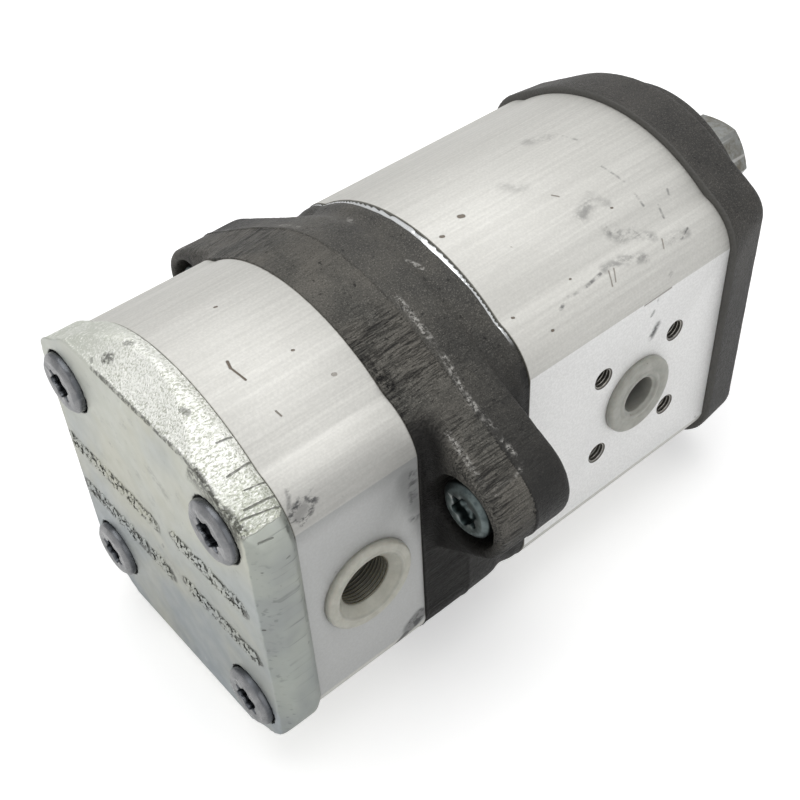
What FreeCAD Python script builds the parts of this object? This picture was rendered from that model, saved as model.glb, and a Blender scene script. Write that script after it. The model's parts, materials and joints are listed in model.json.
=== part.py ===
import FreeCAD, Part
import math
import os

# Tandem external gear pump. Millimetres.
# The origin is the centre of the front mounting face, on the drive shaft's axis.
# +X runs out of the drive shaft, +Z is up, and the outlet ports face -Y.

# Outline of both pump bodies, seen along the shaft
body_half_width = 45.5
body_half_height = 55.5
lobe_radius = 15.7
lobe_drop = 27.2
lobe_proud = 1.7784
lobe_blend = 5.0
port_face_cut = 0.3

# Lengths along the shaft
cover_plate = 16.0
front_body_length = 76.0
adaptor_length = 21.0
flange_length = 15.5
rear_body_length = 35.5
rear_cover_thickness = 12.0

# Front cover: its rear outline frames the body, and its walls lean in to a front outline of its own
cover_frame = 2.1
cover_top_proud = 1.5
cover_side_inset = 1.1
cover_lobe_radius = 9.3
cover_lobe_drop = 23.6
cover_lobe_proud = 4.0477
cover_edge = 1.0
pilot_radius = 35.0
pilot_length = 7.0
mount_hole_radius = 3.4
mount_hole_depth = 12.0
mount_hole_inset = 5.65
mount_half_height = 22.5
shaft_hole_room = 0.6

# Gears
gear_centre_distance = 35.0
tooth_count = 12
pressure_angle = 28.0
tooth_addendum = 2.7
tooth_dedendum = 3.2
tooth_backlash = 0.12
front_gear_width = 38.0
rear_gear_width = 9.5
journal_radius = 10.0
journal_end_gap = 0.3
gear_side_gap = 0.05
front_port_lead = 4.0

# Fits
seat_gap = 0.02
running_gap = 0.04
tip_gap = 0.08
free_gap = 0.3

# Bearing blocks, bushes and seals
bush_wall = 2.0
relief_pocket_depth = 2.0
relief_pocket_half_height = 2.2
relief_pocket_inner = 4.0
relief_pocket_outer = 9.0
axial_seal_outer = 18.5
axial_seal_width = 2.0
backup_ring_width = 1.3
axial_seal_depth = 2.0
axial_seal_reach = 8.0
body_seal_radius = 23.6
body_seal_width = 2.0
body_seal_depth = 1.8

# Shaft end
taper_start = 8.0
taper_radius = 9.75
taper_length = 15.0
taper_ratio = 5.0
thread_radius = 7.0
thread_end_chamfer = 1.0
nut_across_flats = 22.0
nut_height = 11.0
washer_radius = 13.0
washer_thickness = 2.5
thread_past_nut = 3.0
key_width = 4.0
key_disc_radius = 6.5
key_height = 5.0
key_proud = 1.8
shaft_seal_radius = 17.5
shaft_seal_thickness = 8.0
shaft_seal_floor = 4.0
retaining_ring_thickness = 1.5
retaining_ring_width = 2.4
retaining_ring_bite = 0.9
retaining_ring_gap = 7.0

# Drive between the two pumps
neck_radius = 9.0
tang_width = 8.0
coupling_radius = 12.0
coupling_length = 12.0
coupling_slot_gap = 0.1

# Middle castings
rim_thickness = 4.0
neck_inset = 0.8
casting_proud = 0.3
crown_top_proud = 1.7
crown_lobe_proud = 2.5
crown_front_share = 0.3
crown_rear_share = 0.2
crown_root_radius = 10.0
lug_centre_out = 10.5
lug_radius = 13.6
lug_front_thickness = 12.0
lug_rear_thickness = 12.2
lug_edge = 1.0
lug_root_radius = 3.0
lug_root_inset = 3.0
lug_root_drop = 21.0
o_ring_radius = 19.5
o_ring_width = 2.6
o_ring_depth = 1.8

# Screws
section_screw_inset = 13.0
section_screw_drop = 23.0
screw_radius = 5.0
screw_hole_radius = 5.4
cover_screw_head_radius = 8.4
cover_screw_head_height = 6.0
cover_screw_head_proud = 2.4
cover_screw_thread = 12.0
spot_face_gap = 0.5
head_edge = 0.8
front_screw_head_radius = 8.0
front_screw_head_height = 10.0
front_screw_head_sink = 0.5
front_screw_thread = 10.0
lug_screw_head_radius = 7.8
lug_screw_head_height = 7.0
lug_screw_head_sink = 0.9
lug_screw_thread = 11.0
lug_counterbore_radius = 10.0
socket_outer = 4.45
socket_inner = 3.2
socket_depth = 3.6
tap_floor = 1.0

# Dowels
dowel_radius = 2.5
dowel_length = 12.0
dowel_seal_gap = 2.2

# Rear cover
tail_side_inset = 2.0
tail_top_inset = 6.2
tail_corner_radius = 14.0
tail_slope_width = 8.0
tail_slope_height = 9.0
tail_slope_start = 2.5
tail_foot_proud = 0.2
tail_rim_proud = 1.6
tail_rim_rise = 2.0

# Ports and their transport plugs
front_outlet_radius = 10.0
front_outlet_bolt_circle = 40.0
front_outlet_bolt_hole = 3.0
front_outlet_bolt_depth = 13.0
front_inlet_radius = 13.5
front_inlet_bolt_circle = 55.0
front_inlet_bolt_hole = 4.0
front_inlet_bolt_depth = 15.0
bolt_countersink = 0.4
rear_outlet_radius = 9.0
rear_outlet_depth = 14.0
rear_outlet_core = 4.5
rear_inlet_radius = 11.0
rear_inlet_depth = 15.0
rear_inlet_core = 4.5
front_plug_flange = 12.0
front_plug_stem = 9.0
front_plug_recess = 5.35
front_plug_recess_depth = 7.0
inlet_plug_flange = 16.5
inlet_plug_recess = 8.0
rear_plug_flange = 13.0
rear_plug_hole = 7.35
rear_plug_mouth = 9.7
rear_plug_stem = 12.0
rear_inlet_plug_flange = 15.5
rear_inlet_plug_hole = 9.2
rear_inlet_plug_mouth = 11.5
plug_flange_height = 2.0
plug_edge = 0.8
plug_floor = 2.0

# Places along the shaft, from the front backwards
x_cover_back = -cover_plate
x_front_body_back = x_cover_back - front_body_length
x_parting = x_front_body_back - adaptor_length
x_flange_back = x_parting - flange_length
x_rear_body_back = x_flange_back - rear_body_length
x_tail = x_rear_body_back - rear_cover_thickness
x_front_gear = x_cover_back - front_body_length / 2
x_rear_gear = x_flange_back - rear_body_length / 2
x_coupling = (x_front_body_back + x_flange_back) / 2
x_front_port = x_front_gear + front_port_lead
x_rear_port = x_rear_gear

# Heights, from the drive shaft's axis
driven_z = -gear_centre_distance
middle_z = driven_z / 2

# Radii that follow from the gears
pitch_radius = gear_centre_distance / 2
tip_radius = pitch_radius + tooth_addendum
root_radius = pitch_radius - tooth_dedendum
bore_radius = tip_radius + tip_gap
block_radius = bore_radius - running_gap
bush_radius = journal_radius + running_gap + bush_wall


def arc_around(half_height, lobe_y, lobe_z, lobe, proud):
    """Radius of the top arc at a half height, out of which the corner lobes stand by the given amount."""
    drop = half_height - lobe_z
    inner = lobe - proud
    return (lobe_y ** 2 + drop ** 2 - inner ** 2) / (2 * (drop - inner))


# What follows from the body's outline
port_face_y = body_half_width - port_face_cut
lobe_y = body_half_width - lobe_radius
lobe_rise = body_half_height - lobe_drop
body_arc_radius = arc_around(body_half_height, lobe_y, lobe_rise, lobe_radius, lobe_proud)
arc_rise = body_half_height - body_arc_radius
cover_half_width = body_half_width - cover_side_inset
cover_half_height = body_half_height + cover_top_proud
cover_lobe_y = cover_half_width - cover_lobe_radius
cover_lobe_rise = cover_half_height - cover_lobe_drop
cover_arc_radius = arc_around(cover_half_height, cover_lobe_y, cover_lobe_rise, cover_lobe_radius,
                              cover_lobe_proud)
mount_half_width = cover_half_width - mount_hole_inset
lug_reach = body_half_width + lug_centre_out
section_screw_y = body_half_width - section_screw_inset
section_screw_rise = body_half_height - section_screw_drop
body_seal_rise = gear_centre_distance / 2 + body_seal_radius + body_seal_width / 2
dowel_rise = body_seal_rise + dowel_seal_gap + dowel_radius
tail_half_width = body_half_width - tail_side_inset
tail_half_height = body_half_height - tail_top_inset


def vec(x, y, z):
    return FreeCAD.Vector(x, y, z)


def rod(x_from, x_to, radius, y=0.0, z=0.0):
    """A cylinder along X between two places."""
    low, high = min(x_from, x_to), max(x_from, x_to)
    return Part.makeCylinder(radius, high - low, vec(low, y, z), vec(1, 0, 0))


def side_rod(side, y_from, y_to, radius, x, z):
    """A cylinder along Y on one side of the pump, side being -1 or 1."""
    start = vec(x, side * y_from, z)
    if y_to >= y_from:
        return Part.makeCylinder(radius, y_to - y_from, start, vec(0, side, 0))
    return Part.makeCylinder(radius, y_from - y_to, start, vec(0, -side, 0))


def turned(profile, base, direction):
    """A solid of revolution. Each profile point is a radius and a height along the axis."""
    points = [vec(radius, 0, height) for radius, height in profile]
    points.append(points[0])
    solid = Part.Face(Part.makePolygon(points)).revolve(vec(0, 0, 0), vec(0, 0, 1), 360)
    solid.Placement = FreeCAD.Placement(base, FreeCAD.Rotation(vec(0, 0, 1), direction))
    return solid


def join(solids):
    """One solid from several that touch or overlap."""
    return solids[0].fuse(solids[1:]).removeSplitter()


def cut(solid, tools):
    """A solid less its holes."""
    return solid.cut(tools)


def group(solids):
    """Several separate solids as one shape."""
    return Part.makeCompound(solids)


def arc_edge(x, centre, radius, start, end):
    """An arc in the plane at x, between two angles in radians measured from +Y."""
    spots = [start, (start + end) / 2, end]
    points = [vec(x, centre[0] + radius * math.cos(a), centre[1] + radius * math.sin(a)) for a in spots]
    return Part.Arc(*points).toShape()


def line_edge(x, start, end):
    """A straight edge in the plane at x."""
    return Part.makeLine(vec(x, start[0], start[1]), vec(x, end[0], end[1]))


def body_outline(x, grow=0.0):
    """The bodies' outline: top and bottom arcs, four corner lobes and flat sides."""
    arc_radius = body_arc_radius + grow
    lobe = lobe_radius + grow
    blend = lobe_blend - grow
    rise = lobe_rise - arc_rise
    span = math.hypot(lobe_y, rise)
    reach_arc = arc_radius + blend
    reach_lobe = lobe + blend
    along = (reach_arc ** 2 - reach_lobe ** 2 + span ** 2) / (2 * span)
    aside = math.sqrt(reach_arc ** 2 - along ** 2)
    blend_y = (lobe_y * along - rise * aside) / span
    blend_z = arc_rise + (rise * along + lobe_y * aside) / span
    arc_angle = math.atan2(blend_z - arc_rise, blend_y)
    lobe_angle = math.atan2(blend_z - lobe_rise, blend_y - lobe_y)
    edges = []
    for side in (1, -1):
        for up in (1, -1):
            def turn(angle):
                angle = angle if side > 0 else math.pi - angle
                return angle if up > 0 else -angle
            lobe_centre = (side * lobe_y, middle_z + up * lobe_rise)
            blend_centre = (side * blend_y, middle_z + up * blend_z)
            edges.append(arc_edge(x, lobe_centre, lobe, turn(0.0), turn(lobe_angle)))
            blend_start = turn(lobe_angle - math.pi)
            edges.append(arc_edge(x, blend_centre, blend, blend_start, turn(arc_angle - math.pi)))
        side_y = side * (body_half_width + grow)
        edges.append(line_edge(x, (side_y, middle_z - lobe_rise), (side_y, middle_z + lobe_rise)))
    for up in (1, -1):
        centre = (0.0, middle_z + up * arc_rise)
        edges.append(arc_edge(x, centre, arc_radius, up * arc_angle, up * (math.pi - arc_angle)))
    return Part.Wire(Part.__sortEdges__(edges))


def hull_outline(x, circles, grow=0.0):
    """The tight outline around circles (y, z, radius), named in counterclockwise order."""
    circles = [(y, z, radius + grow) for y, z, radius in circles]
    tangents = []
    for index, (y0, z0, r0) in enumerate(circles):
        y1, z1, r1 = circles[(index + 1) % len(circles)]
        span = math.hypot(y1 - y0, z1 - z0)
        ahead = ((y1 - y0) / span, (z1 - z0) / span)
        lean = (r0 - r1) / span
        out = math.sqrt(1 - lean ** 2)
        normal = (ahead[0] * lean + ahead[1] * out, ahead[1] * lean - ahead[0] * out)
        tangents.append((math.atan2(normal[1], normal[0]), (y0, z0, r0), (y1, z1, r1)))
    edges = []
    for index, (angle, start, end) in enumerate(tangents):
        across = (math.cos(angle), math.sin(angle))
        first = (start[0] + start[2] * across[0], start[1] + start[2] * across[1])
        last = (end[0] + end[2] * across[0], end[1] + end[2] * across[1])
        edges.append(line_edge(x, first, last))
        next_angle = tangents[(index + 1) % len(tangents)][0]
        while next_angle < angle:
            next_angle += 2 * math.pi
        edges.append(arc_edge(x, end[:2], end[2], angle, next_angle))
    return Part.Wire(edges)


def six_circles(corner_y, corner_z, corner, top_z, top):
    """Four corner circles and a top and a bottom one, mirrored both ways about the mid-height."""
    return [
        (corner_y, middle_z + corner_z, corner), (0.0, middle_z + top_z, top),
        (-corner_y, middle_z + corner_z, corner), (-corner_y, middle_z - corner_z, corner),
        (0.0, middle_z - top_z, top), (corner_y, middle_z - corner_z, corner),
    ]


def prism(wire, length):
    """A solid that runs from a wire along +X."""
    return Part.Face(wire).extrude(vec(length, 0, 0))


def loft(wires):
    """A solid with straight walls through outlines at several places."""
    return Part.makeLoft(wires, True, True)


def twin_rod(x_from, x_to, radius):
    """Two cylinders in one, about the drive axis and the driven axis."""
    return join([rod(x_from, x_to, radius), rod(x_from, x_to, radius, 0.0, driven_z)])


def stadium(x_from, x_to, radius):
    """A rounded slot around both gear axes."""
    low, high = min(x_from, x_to), max(x_from, x_to)
    box = Part.makeBox(high - low, 2 * radius, gear_centre_distance, vec(low, -radius, driven_z))
    return join([twin_rod(low, high, radius), box])


def section_places():
    """The four screw places of a pump section, as (y, z)."""
    return [(side * section_screw_y, middle_z + up * section_screw_rise)
            for side in (-1, 1) for up in (-1, 1)]


def dowel_places():
    """The two dowel places in each joint, as (y, z)."""
    return [(0.0, middle_z + up * dowel_rise) for up in (-1, 1)]


def dowel_holes(x):
    """Holes for the dowels of the joint at x, in the pieces on both of its sides."""
    half = dowel_length / 2 + seat_gap
    return [rod(x - half, x + half, dowel_radius + seat_gap, y, z) for y, z in dowel_places()]


def star_socket(x, depth, y, z):
    """A six-lobed drive recess that opens towards -X at x."""
    middle = (socket_outer + socket_inner) / 2
    lobe_half = math.radians(13.0)
    edges = []
    for index in range(6):
        centre = math.radians(60.0 * index)

        def spot(radius, angle):
            return vec(x, y + radius * math.cos(angle), z + radius * math.sin(angle))
        lobe_start = spot(middle, centre - lobe_half)
        lobe_end = spot(middle, centre + lobe_half)
        next_start = spot(middle, centre + math.radians(60.0) - lobe_half)
        edges.append(Part.Arc(lobe_start, spot(socket_outer, centre), lobe_end).toShape())
        hollow = spot(socket_inner, centre + math.radians(30.0))
        edges.append(Part.Arc(lobe_end, hollow, next_start).toShape())
    return prism(Part.Wire(edges), depth)


def star_screw(x_head, head_radius, head_height, length, y, z):
    """A star-drive cap screw whose head's flat face is at x_head, pointing along +X."""
    profile = [
        (0.0, 0.0), (head_radius - head_edge, 0.0), (head_radius, head_edge), (head_radius, head_height),
        (screw_radius, head_height), (screw_radius, head_height + length - head_edge),
        (screw_radius - head_edge, head_height + length), (0.0, head_height + length),
    ]
    solid = turned(profile, vec(x_head, y, z), vec(1, 0, 0))
    return cut(solid, [star_socket(x_head, socket_depth, y, z)])


def gear_face(x, z, phase):
    """A gear's outline at x about the axis at height z, with one tooth at the angle phase."""
    base_radius = pitch_radius * math.cos(math.radians(pressure_angle))
    tooth_half = (math.pi * pitch_radius / tooth_count - tooth_backlash / 2) / (2 * pitch_radius)
    flank_steps = 7

    def involute(radius):
        roll = math.acos(min(1.0, base_radius / radius))
        return math.tan(roll) - roll

    def half_angle(radius):
        return tooth_half + involute(pitch_radius) - involute(radius)

    def spot(radius, angle):
        return vec(x, radius * math.cos(angle), z + radius * math.sin(angle))

    radii = [base_radius + (tip_radius - base_radius) * step / flank_steps for step in range(flank_steps + 1)]
    foot_half = half_angle(base_radius)
    tip_half = half_angle(tip_radius)
    pitch = 2 * math.pi / tooth_count
    edges = []
    for index in range(tooth_count):
        centre = phase + index * pitch
        for side in (-1, 1):
            curve = Part.BSplineCurve()
            curve.interpolate([spot(radius, centre + side * half_angle(radius)) for radius in radii])
            edges.append(curve.toShape())
            foot = spot(root_radius, centre + side * foot_half)
            edges.append(Part.makeLine(foot, spot(base_radius, centre + side * foot_half)))
        tip = [spot(tip_radius, centre + share * tip_half) for share in (-1, 0, 1)]
        edges.append(Part.Arc(*tip).toShape())
        gap_half = pitch / 2 - foot_half
        root = [spot(root_radius, centre + pitch / 2 + share * gap_half) for share in (-1, 0, 1)]
        edges.append(Part.Arc(*root).toShape())
    return Part.Face(Part.Wire(Part.__sortEdges__(edges)))


def gear(x_middle, width, z, phase):
    """A gear without its journals."""
    return gear_face(x_middle - width / 2, z, phase).extrude(vec(width, 0, 0))


def tang(x_from, x_to):
    """The flat driving end of a shaft."""
    low, high = min(x_from, x_to), max(x_from, x_to)
    slab = Part.makeBox(high - low, tang_width, 2 * neck_radius, vec(low, -tang_width / 2, -neck_radius))
    return rod(low, high, neck_radius).common(slab)


def front_cover():
    """Cast mounting cover with its centring spigot and the seat of the shaft seal."""
    rear = six_circles(lobe_y, lobe_rise, lobe_radius, arc_rise, body_arc_radius)
    front = six_circles(cover_lobe_y, cover_lobe_rise, cover_lobe_radius,
                        cover_half_height - cover_arc_radius, cover_arc_radius)
    plate = loft([
        hull_outline(x_cover_back, rear, cover_frame - cover_edge / 2),
        hull_outline(x_cover_back + cover_edge / 2, rear, cover_frame),
        hull_outline(-cover_edge, front),
        hull_outline(0.0, front, -cover_edge),
    ])
    pilot = turned([
        (0.0, 0.0), (pilot_radius, 0.0), (pilot_radius, pilot_length - cover_edge),
        (pilot_radius - cover_edge, pilot_length), (0.0, pilot_length),
    ], vec(0, 0, 0), vec(1, 0, 0))
    overlap = pilot_length / 2
    solid = join([plate, pilot, rod(-overlap, overlap, pilot_radius - cover_edge)])
    seal_seat_floor = -shaft_seal_floor
    ring_start = seal_seat_floor + shaft_seal_thickness + seat_gap
    ring_end = ring_start + retaining_ring_thickness + 2 * seat_gap
    holes = [
        rod(x_cover_back, pilot_length, journal_radius + shaft_hole_room),
        rod(seal_seat_floor, pilot_length, shaft_seal_radius + seat_gap),
        rod(ring_start, ring_end, shaft_seal_radius + retaining_ring_bite + seat_gap),
    ]
    for y, z in section_places():
        depth = front_screw_thread + tap_floor / 2
        holes.append(rod(x_cover_back, x_cover_back + depth, screw_radius + seat_gap, y, z))
    for side in (-1, 1):
        for z in (middle_z - mount_half_height, middle_z + mount_half_height):
            holes.append(rod(-mount_hole_depth, 0.0, mount_hole_radius, side * mount_half_width, z))
    return cut(solid, holes + dowel_holes(x_cover_back))


def body_block(x_front, x_back):
    """A pump body before its ports: outline, milled sides, gear bores, screw holes and seal grooves."""
    length = x_front - x_back
    side_room = body_half_width
    slab = Part.makeBox(length, 2 * port_face_y, 4 * body_half_height,
                        vec(x_back, -port_face_y, middle_z - 2 * body_half_height))
    solid = prism(body_outline(x_back), length).common(slab)
    holes = [twin_rod(x_back - side_room, x_front + side_room, bore_radius)]
    for y, z in section_places():
        holes.append(rod(x_back, x_front, screw_hole_radius, y, z))
    holes += dowel_holes(x_front) + dowel_holes(x_back)
    for x_face, inward in ((x_front, -1), (x_back, 1)):
        holes.append(body_seal_ring(x_face, inward, seat_gap))
    return cut(solid, holes)


def body_seal_ring(x_face, inward, grow=0.0):
    """A ring seal around both gear bores, let into a body's end face, or its groove when grown."""
    x_deep = x_face + inward * (body_seal_depth + grow)
    outer = stadium(x_face, x_deep, body_seal_radius + body_seal_width / 2 + grow)
    inner = stadium(x_face, x_deep, body_seal_radius - body_seal_width / 2 - grow)
    return outer.cut(inner)


def bolt_circle_holes(side, x, circle, hole_radius, depth):
    """Four tapped holes on the diagonals around a port, each with a small countersink."""
    offset = circle / 2 / math.sqrt(2)
    holes = []
    for along in (-1, 1):
        for up in (-1, 1):
            profile = [
                (0.0, 0.0), (hole_radius + bolt_countersink, 0.0), (hole_radius, bolt_countersink),
                (hole_radius, depth), (0.0, depth),
            ]
            place = vec(x + along * offset, side * port_face_y, middle_z + up * offset)
            holes.append(turned(profile, place, vec(0, -side, 0)))
    return holes


def front_body():
    """Body of the front pump."""
    ports = [
        side_rod(-1, 0.0, port_face_y, front_outlet_radius, x_front_port, middle_z),
        side_rod(1, 0.0, port_face_y, front_inlet_radius, x_front_port, middle_z),
    ]
    ports += bolt_circle_holes(-1, x_front_port, front_outlet_bolt_circle, front_outlet_bolt_hole,
                               front_outlet_bolt_depth)
    ports += bolt_circle_holes(1, x_front_port, front_inlet_bolt_circle, front_inlet_bolt_hole,
                               front_inlet_bolt_depth)
    return cut(body_block(x_cover_back, x_front_body_back), ports)


def rear_body():
    """Body of the rear pump."""
    ports = [
        side_rod(-1, 0.0, port_face_y, rear_outlet_core, x_rear_port, middle_z),
        side_rod(-1, port_face_y, port_face_y - rear_outlet_depth, rear_outlet_radius, x_rear_port, middle_z),
        side_rod(1, 0.0, port_face_y, rear_inlet_core, x_rear_port, middle_z),
        side_rod(1, port_face_y, port_face_y - rear_inlet_depth, rear_inlet_radius, x_rear_port, middle_z),
    ]
    return cut(body_block(x_flange_back, x_rear_body_back), ports)


def lug_outline(side, x, share, grow=0.0):
    """A bolt lug's outline, from its tip into the lobe, which bulges as the crown does at this share."""
    circles = [
        (lug_reach, 0.0, lug_radius),
        (lobe_y, middle_z + lobe_rise, lobe_radius + crown_lobe_proud * share),
        (body_half_width - lug_root_inset, -lug_root_drop, lug_root_radius),
    ]
    if side < 0:
        circles = [(-y, z, radius) for y, z, radius in reversed(circles)]
    return hull_outline(x, circles, grow)


def crown_outline(x, share, grow=0.0):
    """The castings' bulge over the top arc and the upper lobes, at a share of its full height."""
    lobe = lobe_radius + crown_lobe_proud * share
    circles = [
        (lobe_y, middle_z + lobe_rise, lobe),
        (0.0, middle_z + arc_rise, body_arc_radius + crown_top_proud * share),
        (-lobe_y, middle_z + lobe_rise, lobe),
        (-lobe_y, middle_z, crown_root_radius),
        (lobe_y, middle_z, crown_root_radius),
    ]
    return hull_outline(x, circles, grow)


def adaptor():
    """Front half of the middle casting, with tapped lugs."""
    x_lug = x_parting + lug_front_thickness
    x_rim = x_front_body_back - rim_thickness
    pieces = [
        prism(body_outline(x_rim), rim_thickness),
        prism(body_outline(x_parting, -neck_inset), adaptor_length - rim_thickness / 2),
        loft([
            body_outline(x_parting, casting_proud),
            body_outline(x_lug - lug_edge, 0.0),
            body_outline(x_lug, -lug_edge),
        ]),
        loft([
            crown_outline(x_parting, 1.0),
            crown_outline(x_lug - lug_edge, crown_front_share),
            crown_outline(x_lug, crown_front_share, -lug_edge),
        ]),
    ]
    for side in (-1, 1):
        pieces.append(loft([
            lug_outline(side, x_parting, 1.0),
            lug_outline(side, x_lug - lug_edge, crown_front_share),
            lug_outline(side, x_lug, crown_front_share, -lug_edge),
        ]))
    head_room = front_screw_head_height + front_screw_head_sink
    holes = [
        rod(x_parting, x_front_body_back, neck_radius + free_gap * 2),
        rod(x_parting, x_coupling + coupling_length / 2 + free_gap, coupling_radius + free_gap),
        o_ring(seat_gap),
    ]
    for y, z in section_places():
        holes.append(rod(x_parting, x_front_body_back, screw_hole_radius, y, z))
        holes.append(rod(x_parting, x_parting + head_room, front_screw_head_radius + spot_face_gap, y, z))
    for side in (-1, 1):
        holes.append(rod(x_parting, x_lug, screw_radius + seat_gap, side * lug_reach, 0.0))
    return cut(join(pieces), holes + dowel_holes(x_front_body_back))


def rear_flange():
    """Rear half of the middle casting, with counterbored lugs."""
    x_lug = x_parting - lug_rear_thickness
    pieces = [
        prism(body_outline(x_flange_back, casting_proud), flange_length),
        loft([
            crown_outline(x_flange_back, crown_rear_share),
            crown_outline(x_parting, 1.0),
        ]),
    ]
    for side in (-1, 1):
        pieces.append(loft([
            lug_outline(side, x_lug, crown_rear_share, -lug_edge),
            lug_outline(side, x_lug + lug_edge, crown_rear_share),
            lug_outline(side, x_parting, 1.0),
        ]))
    head_room = lug_screw_head_height + lug_screw_head_sink
    holes = [
        rod(x_parting, x_flange_back, neck_radius + free_gap * 2),
        rod(x_parting, x_coupling - coupling_length / 2 - free_gap, coupling_radius + free_gap),
    ]
    for side in (-1, 1):
        holes.append(rod(x_lug, x_parting, screw_hole_radius, side * lug_reach, 0.0))
        holes.append(rod(x_lug, x_lug + head_room, lug_counterbore_radius, side * lug_reach, 0.0))
    for y, z in section_places():
        depth = cover_screw_thread + tap_floor / 2
        holes.append(rod(x_flange_back, x_flange_back + depth, screw_radius + seat_gap, y, z))
    return cut(join(pieces), holes + dowel_holes(x_flange_back))


def o_ring(grow=0.0):
    """Seal ring around the coupling, let into the adaptor's rear face, or its groove when grown."""
    x_deep = x_parting + o_ring_depth + grow
    outer = rod(x_parting, x_deep, o_ring_radius + o_ring_width / 2 + grow)
    return outer.cut(rod(x_parting, x_deep, o_ring_radius - o_ring_width / 2 - grow))


def rear_cover():
    """Cast rear cover: a little wider than the bodies, with a sloping rim around its flat face."""
    plate = loft([
        body_outline(x_tail, tail_rim_proud),
        body_outline(x_rear_body_back - tail_rim_rise, tail_rim_proud),
        body_outline(x_rear_body_back, tail_foot_proud),
    ])
    corner_y = tail_half_width - tail_corner_radius
    corner_z = tail_half_height - tail_corner_radius

    def corners(wider, taller):
        return [(side * (corner_y + wider), middle_z + up * (corner_z + taller), tail_corner_radius)
                for side, up in ((1, 1), (-1, 1), (-1, -1), (1, -1))]
    x_slope = x_rear_body_back - tail_slope_start
    slope = loft([
        hull_outline(x_tail, corners(0.0, 0.0)),
        hull_outline(x_slope, corners(tail_slope_width, tail_slope_height)),
    ])
    base = prism(hull_outline(x_slope, corners(tail_slope_width, tail_slope_height)), tail_slope_start)
    solid = plate.common(join([slope, base]))
    sink = cover_screw_head_height - cover_screw_head_proud
    holes = []
    for y, z in section_places():
        holes.append(rod(x_tail, x_rear_body_back, screw_hole_radius, y, z))
        holes.append(rod(x_tail, x_tail + sink, cover_screw_head_radius + spot_face_gap, y, z))
    return cut(solid, holes + dowel_holes(x_rear_body_back))


def bearing_block(x_outer, x_inner):
    """A bearing block, from its outer face on a cover to its inner face on the gears."""
    inward = 1 if x_inner > x_outer else -1
    solid = twin_rod(x_outer, x_inner, block_radius)
    holes = [rod(x_outer, x_inner, bush_radius + seat_gap, 0.0, z) for z in (0.0, driven_z)]
    holes.append(axial_seal_band(x_outer, inward, axial_seal_outer,
                                 axial_seal_width + backup_ring_width, seat_gap))
    for side in (-1, 1):
        low_y = min(side * relief_pocket_inner, side * relief_pocket_outer)
        low_x = min(x_inner, x_inner - inward * relief_pocket_depth)
        holes.append(Part.makeBox(relief_pocket_depth, relief_pocket_outer - relief_pocket_inner,
                                  2 * relief_pocket_half_height,
                                  vec(low_x, low_y, middle_z - relief_pocket_half_height)))
    return cut(solid, holes)


def axial_seal_band(x_outer, inward, outer_radius, width, grow=0.0):
    """The three-shaped band on a block's outer face, open towards the inlet side."""
    x_deep = x_outer + inward * (axial_seal_depth + grow)
    band = twin_rod(x_outer, x_deep, outer_radius + grow)
    for z in (0.0, driven_z):
        band = band.cut(rod(x_outer, x_deep, outer_radius - width - grow, 0.0, z))
    reach = 2 * outer_radius
    low_corner = vec(min(x_outer, x_deep) - grow / 2, -reach, driven_z - gear_centre_distance)
    keep = Part.makeBox(axial_seal_depth + 2 * grow, reach + axial_seal_reach + grow,
                        3 * gear_centre_distance, low_corner)
    return band.common(keep)


def pump_blocks(x_front, x_back, gear_width):
    """Outer and inner face places of a pump's two bearing blocks, front block first."""
    middle = (x_front + x_back) / 2
    inner = gear_width / 2 + gear_side_gap
    return [(x_front, middle + inner), (x_back, middle - inner)]


def bushes(faces):
    """Four plain bearing bushes, one for each journal."""
    solids = []
    for x_outer, x_inner in faces:
        for z in (0.0, driven_z):
            shell = rod(x_outer, x_inner, bush_radius, 0.0, z)
            solids.append(shell.cut(rod(x_outer, x_inner, journal_radius + running_gap, 0.0, z)))
    return group(solids)


def axial_seals(faces):
    """One rubber seal on each block's outer face."""
    solids = []
    for x_outer, x_inner in faces:
        inward = 1 if x_inner > x_outer else -1
        solids += axial_seal_band(x_outer, inward, axial_seal_outer, axial_seal_width).Solids
    return group(solids)


def backup_rings(faces):
    """Plastic supports inside the rubber seals."""
    solids = []
    radius = axial_seal_outer - axial_seal_width - seat_gap
    for x_outer, x_inner in faces:
        inward = 1 if x_inner > x_outer else -1
        solids += axial_seal_band(x_outer, inward, radius, backup_ring_width - seat_gap).Solids
    return group(solids)


def front_drive_gear():
    """Drive shaft in one piece: tapered end, journals, gear, neck and tang."""
    taper_end = taper_start + taper_length
    small_radius = taper_radius - taper_length / taper_ratio / 2
    shaft_end = taper_end + washer_thickness + nut_height + thread_past_nut
    tang_start = x_coupling + coupling_length / 2 + free_gap
    profile = [
        (0.0, tang_start), (neck_radius, tang_start), (neck_radius, x_front_body_back),
        (journal_radius, x_front_body_back), (journal_radius, taper_start), (taper_radius, taper_start),
        (small_radius, taper_end), (thread_radius, taper_end),
        (thread_radius, shaft_end - thread_end_chamfer), (thread_radius - thread_end_chamfer, shaft_end),
        (0.0, shaft_end),
    ]
    shaft = turned(profile, vec(0, 0, 0), vec(1, 0, 0))
    pieces = [shaft, gear(x_front_gear, front_gear_width, 0.0, -math.pi / 2)]
    pieces.append(tang(tang_start, x_coupling + free_gap / 2))
    return cut(join(pieces), [key_disc(seat_gap)])


def key_disc(grow=0.0):
    """The whole disc that the half-round key is part of, or its seat in the shaft when grown."""
    x = taper_start + taper_length / 2
    width = key_width + 2 * grow
    top = taper_radius - taper_length / taper_ratio / 4 + key_proud
    centre_z = top - key_height + key_disc_radius
    return Part.makeCylinder(key_disc_radius + grow, width, vec(x, -width / 2, centre_z), vec(0, 1, 0))


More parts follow.
